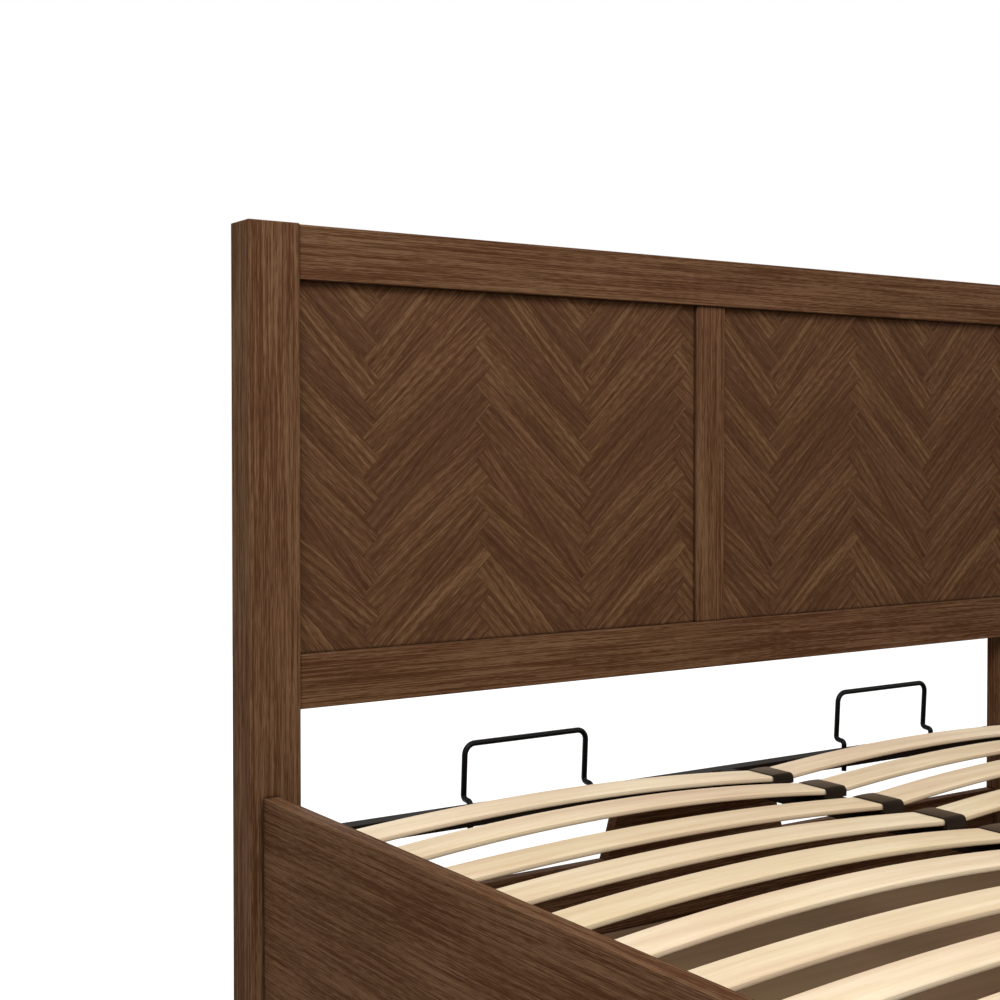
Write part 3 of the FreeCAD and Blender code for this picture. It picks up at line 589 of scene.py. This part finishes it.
def cap_rings(stations, middle_y, base_z):
    """Rings of a cap along X. Each station is a place, and the outline's half width, low, high and radii."""
    rings = []
    for x, *shape in stations:
        outline = rounded_outline(*shape, steps=7)
        ring = np.stack([np.full(len(outline), x), middle_y + outline[:, 0], base_z + outline[:, 1]], axis=-1)
        rings.append(ring)
    return np.concatenate(rings), tube_faces(len(stations), len(rings[0]))


def cap_half(mouth_x, inner_x, outer_x):
    """Stations from a pocket's end wall out to its mouth, round the lip and back over the outside.

    The outside follows a crown: its height falls with the square of the way from the middle to the mouth.
    """
    size = sizes()
    wall = size.cap_wall
    high = size.cap_height
    pocket_half = size.slat_width / 2 + 0.3 * MM
    outer_half = pocket_half + wall
    pocket_high = high - 1.7 * MM
    foot_radius = 0.6 * MM
    lip = 0.9 * MM
    crown_drop = 0.7 * MM
    crown_draw = 0.25 * MM
    toward = 1.0 if mouth_x > inner_x else -1.0
    stations = []
    for x in (inner_x, mouth_x - toward * lip):
        stations.append((x, pocket_half, wall, pocket_high, foot_radius, size.slat_edge))
    for turn in np.linspace(0, math.pi, 7)[1:-1]:
        out = (1 - math.cos(turn)) / 2
        x = mouth_x - toward * lip * (1 - math.sin(turn))
        stations.append((x, pocket_half + (outer_half - pocket_half) * out, wall * (1 - out),
                         pocket_high + (high - crown_drop - pocket_high) * out, foot_radius,
                         size.slat_edge + (size.cap_round - size.slat_edge) * out))
    for share in (0.94, 0.8, 0.6, 0.35, 0.0):
        fall = share ** 2
        stations.append((outer_x + (mouth_x - outer_x) * share, outer_half - crown_draw * fall, 0.0,
                         high - crown_drop * fall, foot_radius, size.cap_round))
    return stations


def swept_rod(path, radius, around=20):
    """A round rod along a path of points.

    At each point a circle lies square to the path's direction: the two directions that span it come from one
    fixed vector, less its part along the path, and from the cross product with the path's direction.
    """
    direction = np.gradient(path, axis=0)
    direction /= np.linalg.norm(direction, axis=1, keepdims=True)
    fixed = np.array([0.3, 1.0, -0.9])
    first = fixed - (direction @ fixed)[:, None] * direction
    first /= np.linalg.norm(first, axis=1, keepdims=True)
    second = np.cross(direction, first)
    turn = np.linspace(0, 2 * math.pi, around, endpoint=False)[None, :, None]
    circle = np.cos(turn) * first[:, None, :] + np.sin(turn) * second[:, None, :]
    return (path[:, None, :] + radius * circle).reshape(-1, 3), tube_faces(len(path), around)


def unit(vector):
    """A vector's direction."""
    return vector / np.linalg.norm(vector)


def bent_path(corners, bends):
    """Points along straight runs joined by tangent arcs.

    An arc's centre lies on the bisector of its corner, radius / cos(half turn) from it.
    """
    path = [corners[0]]
    for before, corner, after, radius in zip(corners[:-2], corners[1:-1], corners[2:], bends):
        back = unit(before - corner)
        ahead = unit(after - corner)
        half_turn = (math.pi - math.acos(float(np.clip(back @ ahead, -1, 1)))) / 2
        centre = corner + unit(back + ahead) * radius / math.cos(half_turn)
        spoke = (corner + back * radius * math.tan(half_turn) - centre) / radius
        turn = np.linspace(0, 2 * half_turn, 13)[:, None]
        path += list(centre + radius * (np.cos(turn) * spoke - np.sin(turn) * back))
    path = np.array(path + [corners[-1]])
    gaps = np.linalg.norm(np.diff(path, axis=0), axis=1)
    return path[np.concatenate([[True], gaps > SAME_PLACE])]


def turned(profile, around=24):
    """A turned or six-sided shape: each (distance along, radius, hexagon share) is carried once round.

    A hexagon's radius is R cos 30 / cos(a - 30), where a is the turn since its last corner. The share mixes
    it with R.
    """
    turn = np.linspace(0, 2 * math.pi, around, endpoint=False)
    hexagon = math.cos(math.pi / 6) / np.cos(turn % (math.pi / 3) - math.pi / 6)
    distance, radius, share = np.array(profile).T[:, :, None] * np.array([MM, MM, 1.0])[:, None, None]
    reach = radius * (1 - share + share * hexagon)
    points = np.stack(np.broadcast_arrays(reach * np.cos(turn), reach * np.sin(turn), distance), axis=-1)
    return points.reshape(-1, 3), tube_faces(len(profile), around)


def pointed(points, place, direction):
    """Carries a shape built along Z to a place, with its axis along X or Y."""
    axis = np.array(direction, float)
    side = np.array([0.0, 0.0, 1.0])
    other = np.cross(side, axis)
    turned_points = points[:, :1] * other + points[:, 1:2] * side + points[:, 2:] * axis
    return turned_points + np.array(place)


# Profiles of small turned parts, as rows of distance along and radius in mm, and hexagon share

SOCKET_SCREW = ((0.0, 6.5, 0), (0.7, 6.5, 0), (1.7, 6.0, 0), (2.5, 5.0, 0), (2.9, 3.9, 0), (3.0, 3.1, 0),
                (3.0, 2.6, 1), (1.2, 2.5, 1))
BOLT_HEAD = ((0.0, 7.2, 0), (0.9, 7.2, 0), (1.0, 6.4, 1), (4.6, 6.4, 1), (5.2, 5.7, 0.4))
NUT_AND_END = ((0.0, 7.2, 0), (0.9, 7.2, 0), (1.0, 6.4, 1), (5.0, 6.4, 1), (5.4, 5.8, 0.4), (5.4, 3.9, 0),
               (7.6, 3.9, 0), (8.2, 3.3, 0))
STUD_CLIP = ((0.0, 6.2, 0), (0.15, 6.5, 0), (0.65, 6.5, 0), (0.8, 6.2, 0))


def placed(profile, places):
    """Copies of one turned shape, as points and faces, at (place, direction) pairs."""
    points, faces = turned(profile)
    return [(pointed(points, place, direction), faces) for place, direction in places]


def to_pq(x, z):
    """Places along the two diagonals: p = (x + z) / root 2 and q = (z - x) / root 2."""
    return (x + z) / ROOT_2, (z - x) / ROOT_2


def to_xz(p, q):
    """Back from the diagonals: x = (p - q) / root 2 and z = (p + q) / root 2."""
    return (p - q) / ROOT_2, (p + q) / ROOT_2


def herringbone_planks(low_x, high_x, low_z, high_z):
    """Corners of the planks that reach into a rectangle.

    With p and q along the diagonals and planks of length L and width w, one plank is [0, L] by [0, w] and its
    partner [L, L + w] by [w - L, w]. Both repeat at steps of (w, w), which is straight up, and (L, -L), which
    is straight across. Returns boxes in (p, q), whether p runs along the plank, and its row.
    """
    size = sizes()
    long = size.plank_length
    wide = size.plank_width
    origin_x = low_x + size.valley_distance
    up_step = ROOT_2 * wide
    across_step = ROOT_2 * long
    rows = np.arange(math.floor((low_z - size.valley_height - long) / up_step),
                     math.ceil((high_z - size.valley_height + long) / up_step) + 1)
    columns = np.arange(-2, math.ceil((high_x - origin_x) / across_step) + 2)
    row, column = [grid.ravel() for grid in np.meshgrid(rows, columns)]
    shift = np.stack([row * wide + column * long, row * wide - column * long], axis=-1)
    shift = shift + np.array([origin_x + size.valley_height, size.valley_height - origin_x]) / ROOT_2
    rising = np.array([0.0, 0.0, long, wide])
    falling = np.array([long, wide - long, long + wide, wide])
    boxes = np.concatenate([np.tile(shift, 2) + rising, np.tile(shift, 2) + falling])
    along_p = np.repeat([True, False], len(shift))
    x, z = to_xz((boxes[:, 0] + boxes[:, 2]) / 2, (boxes[:, 1] + boxes[:, 3]) / 2)
    reach = long / 2
    near = (x > low_x - reach) & (x < high_x + reach) & (z > low_z - reach) & (z < high_z + reach)
    return boxes[near], along_p[near], np.tile(row, 2)[near]


def planks_on_panel(name, low, high):
    """The planks of one panel: their boxes cut to the panel, each a closed board that stands proud."""
    size = sizes()
    gap = size.plank_gap / 2
    boxes, along_p, row = herringbone_planks(low.x, high.x, low.z, high.z)
    x, z = to_xz(boxes[:, [0, 2, 2, 0]] + np.array([gap, -gap, -gap, gap]),
                 boxes[:, [1, 1, 3, 3]] + np.array([gap, gap, -gap, -gap]))
    points = np.stack([x, np.full(x.shape, low.y + size.plank_thickness), z], axis=-1).reshape(-1, 3)
    faces = np.arange(len(points)).reshape(-1, 4).tolist()
    piece = new_piece(name, points, faces, smooth=False)
    shape = bmesh.new()
    shape.from_mesh(piece.data)
    for corner, side in ((low, (-1, 0, 0)), (high, (1, 0, 0)), (low, (0, 0, -1)), (high, (0, 0, 1))):
        everything = list(shape.verts) + list(shape.edges) + list(shape.faces)
        bmesh.ops.bisect_plane(shape, geom=everything, plane_co=corner, plane_no=side, clear_outer=True)
    grown = bmesh.ops.extrude_face_region(shape, geom=list(shape.faces), use_keep_orig=True)
    raised = [item for item in grown["geom"] if isinstance(item, bmesh.types.BMVert)]
    bmesh.ops.translate(shape, verts=raised, vec=(0, -size.plank_thickness, 0))
    bmesh.ops.recalc_face_normals(shape, faces=shape.faces)
    shape.to_mesh(piece.data)
    shape.free()
    plank_maps(piece, boxes, along_p, row)
    return piece


def read_rows(items, key, width, kind=float):
    """A mesh property of every item, as rows of numbers."""
    values = np.zeros(len(items) * width, kind)
    items.foreach_get(key, values)
    return values.reshape(-1, width)


def plank_maps(piece, boxes, along_p, row):
    """Stores the grain's place, the place on the plank as shares of its length and width, and its tone.

    A face belongs to the plank whose box holds its middle, taken a hair inwards. The grain map runs along the
    plank, shifted and turned a little for each row and direction: like a real printed or stitched veneer, the
    pattern repeats from one column to the next, while no two rows show the same stretch of wood.
    """
    mesh = piece.data
    inwards = 0.3 * MM
    inside = read_rows(mesh.polygons, "center", 3) - read_rows(mesh.polygons, "normal", 3) * inwards
    p, q = to_pq(inside[:, :1], inside[:, 2:])
    held = (p > boxes[:, 0]) & (p < boxes[:, 2]) & (q > boxes[:, 1]) & (q < boxes[:, 3])
    totals = read_rows(mesh.polygons, "loop_total", 1, int)[:, 0]
    plank = np.repeat(np.argmax(held, axis=1), totals)
    vertex = read_rows(mesh.loops, "vertex_index", 1, int)[:, 0]
    place = read_rows(mesh.vertices, "co", 3)[vertex]
    corner_p, corner_q = to_pq(place[:, 0], place[:, 2])
    box = boxes[plank]
    lengthways = along_p[plank]
    along = np.where(lengthways, corner_p - box[:, 0], corner_q - box[:, 1])
    across = np.where(lengthways, corner_q - box[:, 1], corner_p - box[:, 0])
    # One draw for each direction and row, with room for rows on both sides of the first valley
    row_room = 60
    dice = np.random.default_rng(PLANK_SEED)
    tones, shifts_a, shifts_b, leans = dice.uniform(0, 1, (4, 2, row_room))
    which = (along_p.astype(int), row + row_room // 2)
    lean = math.radians(7) * (2 * leans[which][plank] - 1)
    far_apart = 40
    shift = far_apart * np.stack([shifts_a[which], shifts_b[which]], axis=-1)[plank]
    turned_along = along * np.cos(lean) + across * np.sin(lean)
    turned_across = across * np.cos(lean) - along * np.sin(lean)
    grain = np.stack([turned_along, turned_across], axis=-1) + shift
    mesh.uv_layers.new(name="grain").data.foreach_set("uv", grain.ravel())
    shares = np.stack([along / sizes().plank_length, across / sizes().plank_width], axis=-1)
    mesh.uv_layers.new(name="plank_shares").data.foreach_set("uv", shares.ravel())
    tone = tones[which][plank].astype(np.float32)
    mesh.attributes.new("board_tone", "FLOAT", "CORNER").data.foreach_set("value", tone)


def block(name, low, high):
    """A plain box between two corners."""
    ring = ((low[0], low[1]), (high[0], low[1]), (high[0], high[1]), (low[0], high[1]))
    points = [(x, y, z) for z in (low[2], high[2]) for x, y in ring]
    return outward(new_piece(name, points, tube_faces(2, len(ring)), smooth=False))


# Operators: one for each piece or group of like pieces, and one for the stage

def fit(piece, material, node):
    """Dresses a piece, and puts it on the body and in the place of a CAD node."""
    dress(piece, material)
    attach(piece, frame["nodes"][node]["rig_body"])
    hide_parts(node)


class DressFrame(bpy.types.Operator):
    """Gives the CAD nodes that stay their finishes"""

    bl_idname = "ottoman_bed.dress_frame"
    bl_label = "Frame finishes"

    def execute(self, context):
        # A node takes the first material in whose row its name's ending stands
        groups = (
            (frame_veneer("Z"), ("_post", "centre_mullion")),
            (frame_veneer("X"), ("top_rail", "bottom_rail", "_board")),
            (frame_veneer("Y"), ("side_rail",)),
            (floor_foil(), ("floor_panel_head", "floor_panel_foot")),
            (pine(), ("floor_battens", "centre_bearer")),
            (moulded_plastic(), ("floor_glides", "bearer_feet")),
            (chromed_steel(), ("strut_rod",)),
            (zinc_plate(), ("pivot_pins",)),
            (rubber(), ("rest_buffers",)),
            (powder_coat(), ("",)),
        )
        for name, node in frame["nodes"].items():
            dress(node, next(material for material, endings in groups if name.endswith(endings)))
        return {"FINISHED"}


class LayHerringbone(bpy.types.Operator):
    """Lays the herringbone planks on both headboard panels, over a plain core"""

    bl_idname = "ottoman_bed.lay_herringbone"
    bl_label = "Herringbone panels"

    def execute(self, context):
        veneer = herringbone_veneer()
        backing = frame_veneer("Z")
        for side in ("left", "right"):
            node = side + "_herringbone_panel"
            low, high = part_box(node)
            planks = planks_on_panel(side + "_herringbone_planks", low, high)
            core_low = (low.x, low.y + sizes().plank_thickness, low.z)
            core = block(side + "_panel_core", core_low, high)
            fit(planks, veneer, node)
            fit(core, backing, node)
        return {"FINISHED"}


class BendSlats(bpy.types.Operator):
    """Makes the bowed birch slats, two to a row"""

    bl_idname = "ottoman_bed.bend_slats"
    bl_label = "Sprung slats"

    def execute(self, context):
        birch = birch_slat()
        dice = np.random.default_rng(SLAT_TONE_SEED)
        # Bent plywood springs back unevenly, so each slat bows a little more or less than its neighbour
        bows = np.random.default_rng(BOW_SEED).uniform(*BOW_RANGE_MM, (len(slat_rows()), 2)) * MM
        inner_x = HALF_WEB + SLAT_END_GAP
        for (name, (low, high)), row_bows in zip(slat_rows(), bows):
            rise = high.z - low.z - sizes().slat_thickness
            middle_y = (low.y + high.y) / 2
            parts = []
            stores = {"ply_depth": [], "ply_edge": [], "board_tone": []}
            for start, end, bow in ((low.x, -inner_x, row_bows[0]), (inner_x, high.x, row_bows[1])):
                points, faces, depth, edge = bowed_slat(start, end, rise + bow, middle_y, low.z)
                parts.append((points, faces))
                tone = np.full(len(points), dice.uniform(0, 1))
                for store, values in zip(stores.values(), (depth, edge, tone)):
                    store.append(values)
            piece = joined_piece(name + "_bowed", parts)
            for key, values in stores.items():
                attribute = piece.data.attributes.new(key, "FLOAT", "POINT")
                attribute.data.foreach_set("value", np.concatenate(values).astype(np.float32))
            fit(piece, birch, name)
        return {"FINISHED"}


class MouldCaps(bpy.types.Operator):
    """Moulds the slat caps: double ones on the centre tube and closed ones on the side tubes"""

    bl_idname = "ottoman_bed.mould_caps"
    bl_label = "Slat caps"

    def execute(self, context):
        plastic = moulded_plastic()
        base_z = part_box("centre_caps")[0].z
        centre_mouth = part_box("centre_caps")[1].x
        outer_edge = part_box("outer_caps")[1].x
        outer_mouth = outer_edge - 24.0 * MM
        pocket_end = outer_edge - 2.1 * MM
        edge_round = 0.8 * MM
        edge_lift = 0.5 * MM
        centre = []
        outer = []
        for name, (low, high) in slat_rows():
            middle_y = (low.y + high.y) / 2
            right = cap_half(centre_mouth, HALF_WEB, 0.0)
            left = cap_half(-centre_mouth, -HALF_WEB, 0.0)
            centre.append(cap_rings(right + left[-2::-1], middle_y, base_z))
            for side in (-1, 1):
                stations = cap_half(side * outer_mouth, side * pocket_end, side * (outer_edge - edge_round))
                half_width, bottom, top, *radii = stations[-1][1:]
                stations.append((side * outer_edge, half_width - edge_round, bottom + edge_lift,
                                 top - edge_round, *radii))
                outer.append(cap_rings(stations, middle_y, base_z))
        for name, parts in (("centre_caps", centre), ("outer_caps", outer)):
            fit(joined_piece(name + "_moulded", parts), plastic, name)
        return {"FINISHED"}


class BendRetainers(bpy.types.Operator):
    """Bends the two mattress retainer loops from round rod"""

    bl_idname = "ottoman_bed.bend_retainers"
    bl_label = "Mattress retainers"

    def execute(self, context):
        enamel = enamelled_rod()
        size = sizes()
        radius = size.rod_diameter / 2
        head_low, head_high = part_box("head_tube")
        lower_y = (head_low.y + head_high.y) / 2
        for node in ("left_retainer", "right_retainer"):
            low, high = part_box(node)
            upper_y = high.y - radius
            jog_z = head_high.z + (low.z - head_low.z + size.loop_tail)
            leg = [(lower_y, low.z), (lower_y, jog_z), (upper_y, jog_z + size.jog_rise),
                   (upper_y - size.loop_lean, high.z - radius)]
            middle_x = (low.x + high.x) / 2
            corners = [np.array([middle_x - size.loop_width / 2, y, z]) for y, z in leg]
            corners += [np.array([middle_x + size.loop_width / 2, y, z]) for y, z in reversed(leg)]
            bends = [size.jog_bend, size.jog_bend, size.loop_bend]
            points, faces = swept_rod(bent_path(corners, bends + bends[::-1]), radius)
            fit(outward(new_piece(node + "_bent", points, faces)), enamel, node)
        return {"FINISHED"}


def joint_places():
    """The place of each joint, by its name."""
    return {joint["name"]: np.array(joint["pos_m"]) for joint in frame["joints"]}


def screw_places():
    """Place and direction of each screw head on the corner brackets, platform rests and hinge plates."""
    steel = 3.0 * MM
    plate_steel = 4.0 * MM
    bracket_rises = (25.0 * MM, 95.0 * MM)
    on_rail_y = 21.5 * MM
    on_end_x = 15.0 * MM
    rest_half_length = 60.0 * MM
    rest_screw_reach = 35.0 * MM
    rest_screw_drop = 20.0 * MM
    low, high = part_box("corner_brackets")
    rest_low, rest_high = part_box("platform_rests")
    pivot = joint_places()["lift_hinge"]
    stud = joint_places()["left_cylinder_pivot"]
    heel = pivot + np.array([0.0, 4.0, -150.0]) * MM
    plate_shares = ((0.3, stud), (0.78, stud), (0.36, heel), (1.0, heel))
    places = []
    for side in (-1, 1):
        inward = (-side, 0, 0)
        on_steel = side * (high.x - steel)
        for end in (-1, 1):
            for rise in bracket_rises:
                z = low.z + rise
                places.append(((on_steel, end * (high.y - on_rail_y), z), inward))
                places.append(((side * (high.x - on_end_x), end * (high.y - steel), z), (0, -end, 0)))
        for middle in (rest_low.y + rest_half_length, rest_high.y - rest_half_length):
            for reach in (-rest_screw_reach, rest_screw_reach):
                places.append(((on_steel, middle + reach, rest_high.z - rest_screw_drop), inward))
        for share, end in plate_shares:
            y, z = (pivot + (end - pivot) * share)[1:]
            places.append(((side * (high.x - plate_steel), y, z), inward))
    return places


def bolt_places():
    """Place and direction of the bolt heads and of the nuts on the two tubes where the halves meet."""
    low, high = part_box("middle_tubes")
    z = (low.z + high.z) / 2
    along = [share * high.x for share in (-0.82, -0.42, 0.42, 0.82)]
    heads = [((x, low.y, z), (0, -1, 0)) for x in along]
    nuts = [((x, high.y, z), (0, 1, 0)) for x in along]
    return heads, nuts


def clip_places(stud):
    """Place and direction of the clips that hold both gas struts' eyes on their lower or upper studs."""
    clip_x = 685.6 * MM
    _, y, z = joint_places()["left" + stud]
    return [((side * clip_x, y, z), (-side, 0, 0)) for side in (-1, 1)]


class FitFasteners(bpy.types.Operator):
    """Fits the screws, joint bolts with their nuts, and the gas struts' stud clips"""

    bl_idname = "ottoman_bed.fit_fasteners"
    bl_label = "Screws, bolts and clips"

    def execute(self, context):
        zinc = zinc_plate()
        heads, nuts = bolt_places()
        lower = clip_places("_cylinder_pivot")
        upper = clip_places("_rod_pivot")
        groups = (
            ("fitting_screws", "corner_brackets", placed(SOCKET_SCREW, screw_places())),
            ("joint_bolts", "middle_tubes", placed(BOLT_HEAD, heads) + placed(NUT_AND_END, nuts)),
            ("lower_stud_clips", "corner_brackets", placed(STUD_CLIP, lower)),
            ("upper_stud_clips", "middle_tubes", placed(STUD_CLIP, upper)),
        )
        for name, carrier, parts in groups:
            piece = joined_piece(name, parts)
            dress(piece, zinc)
            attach(piece, frame["nodes"][carrier]["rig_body"])
        return {"FINISHED"}


# Each light's name, place and target in metres, extent wide and high, and power in watts

LIGHTS = (
    ("key_light", (-1.95, -1.05, 2.95), (0.0, 1.0, 0.6), (2.6, 1.1), 112.0),
    ("top_light", (0.4, -0.4, 4.2), (0.2, 0.2, 0.3), (3.0, 3.0), 28.0),
    ("fill_light", (2.8, -2.4, 2.6), (0.0, 0.6, 0.5), (3.0, 3.0), 24.0),
    ("back_light", (1.6, 4.2, 2.4), (0.2, 1.0, 0.6), (2.6, 2.6), 44.0),
)


class SetStage(bpy.types.Operator):
    """Sets the pale floor, the soft studio light and the camera"""

    bl_idname = "ottoman_bed.set_stage"
    bl_label = "Stage"

    def execute(self, context):
        reach = 4.5
        corners = [(-reach, -reach, 0), (reach, -reach, 0), (reach, reach, 0), (-reach, reach, 0)]
        floor = new_piece("studio_floor", corners, [[0, 1, 2, 3]])
        dress(floor, studio_floor())
        set_world()
        for light in LIGHTS:
            area_light(*light)
        camera = bpy.data.cameras.new("photo_camera")
        camera.lens = 56.34
        camera.sensor_width = 36.0
        camera.shift_y = -0.0214
        holder = bpy.data.objects.new("photo_camera", camera)
        holder.location = (-1.5584, -0.755, 0.7655)
        degrees_down = 1.21
        degrees_right = 33.72
        holder.rotation_euler = (math.radians(90 - degrees_down), 0.0, math.radians(-degrees_right))
        bpy.context.scene.collection.objects.link(holder)
        bpy.context.scene.camera = holder
        bpy.context.scene.view_settings.view_transform = "Standard"
        return {"FINISHED"}


def seen_directly(tree):
    """One where a ray comes from the camera, a mirror or glass."""
    path = add(tree, "LightPath").outputs
    seen = add(tree, "Math MAXIMUM", (path["Is Camera Ray"], path["Is Glossy Ray"]))
    return add(tree, "Math MAXIMUM", (seen, path["Is Transmission Ray"]))


def studio_floor():
    """Pale painted studio floor, rolled matt: it shows white, and keeps the bed's soft shadow."""
    material, tree, shader = new_material("matt_white_studio_paint")
    roller = noise(tree, add(tree, "TexCoord").outputs["Object"], (4.0, 4.0, 4.0))
    tones = {6: linear("#a3a2a0"), 7: linear("#a9a8a6")}
    paint = add(tree, "Mix", {0: roller, **tones}, data_type="RGBA").outputs[2]
    fill(tree, shader, {"Base Color": paint, "Roughness": 0.8})
    strength = add(tree, "Math MULTIPLY", (seen_directly(tree), 0.78))
    glow = add(tree, "Emission", {"Color": linear("#ffffff"), "Strength": strength})
    blend = add(tree, "AddShader", {0: shader.outputs[0], 1: glow.outputs[0]})
    fill(tree, tree.nodes["Material Output"], {"Surface": blend.outputs[0]})
    return material


def set_world():
    """White where it is seen, and a softer white where it lights the bed."""
    lighting = 0.38
    world = bpy.data.worlds.new("studio_world")
    bpy.context.scene.world = world
    world.use_nodes = True
    tree = world.node_tree
    tree.nodes.clear()
    strength = add(tree, "Math MULTIPLY_ADD", (seen_directly(tree), 1.0 - lighting, lighting))
    light = add(tree, "Background", {"Color": linear("#ffffff"), "Strength": strength})
    add(tree, "OutputWorld", {"Surface": light.outputs[0]})


def area_light(name, place, target, extent, power):
    """A soft light, extent wide and high, that faces a target."""
    light = bpy.data.lights.new(name, "AREA")
    light.shape = "RECTANGLE"
    light.size, light.size_y = extent
    light.energy = power
    holder = bpy.data.objects.new(name, light)
    holder.location = place
    away = np.array(place) - np.array(target)
    across = math.atan2(away[0], -away[1])
    lean = math.acos(away[2] / np.linalg.norm(away))
    holder.rotation_euler = (lean, 0.0, across)
    holder.visible_camera = False
    bpy.context.scene.collection.objects.link(holder)


class BedPanel(bpy.types.Panel):
    """Lists the bed's sizes, colours and operators in the sidebar."""

    bl_idname = "VIEW3D_PT_ottoman_bed"
    bl_label = "Ottoman bed"
    bl_space_type = "VIEW_3D"
    bl_region_type = "UI"
    bl_category = "Ottoman bed"

    def draw(self, context):
        for group in (context.scene.bed_sizes, context.scene.bed_colours):
            column = self.layout.column(align=True)
            for key in group.bl_rna.properties.keys():
                if key not in ("rna_type", "name"):
                    column.prop(group, key)
        for operator in OPERATORS:
            self.layout.operator(operator.bl_idname)


OPERATORS = (DressFrame, LayHerringbone, BendSlats, MouldCaps, BendRetainers, FitFasteners, SetStage)
CLASSES = (BedSizes, BedColours) + OPERATORS + (BedPanel,)


def register():
    """Registers the classes and the scene's two property groups."""
    for kind in CLASSES:
        bpy.utils.register_class(kind)
    bpy.types.Scene.bed_sizes = PointerProperty(type=BedSizes)
    bpy.types.Scene.bed_colours = PointerProperty(type=BedColours)


def unregister():
    """Takes the property groups and classes away again."""
    del bpy.types.Scene.bed_colours
    del bpy.types.Scene.bed_sizes
    for kind in reversed(CLASSES):
        bpy.utils.unregister_class(kind)


def main():
    register()
    for operator in OPERATORS:
        getattr(bpy.ops.ottoman_bed, operator.bl_idname.partition(".")[2])()


if __name__ == "__main__":
    main()
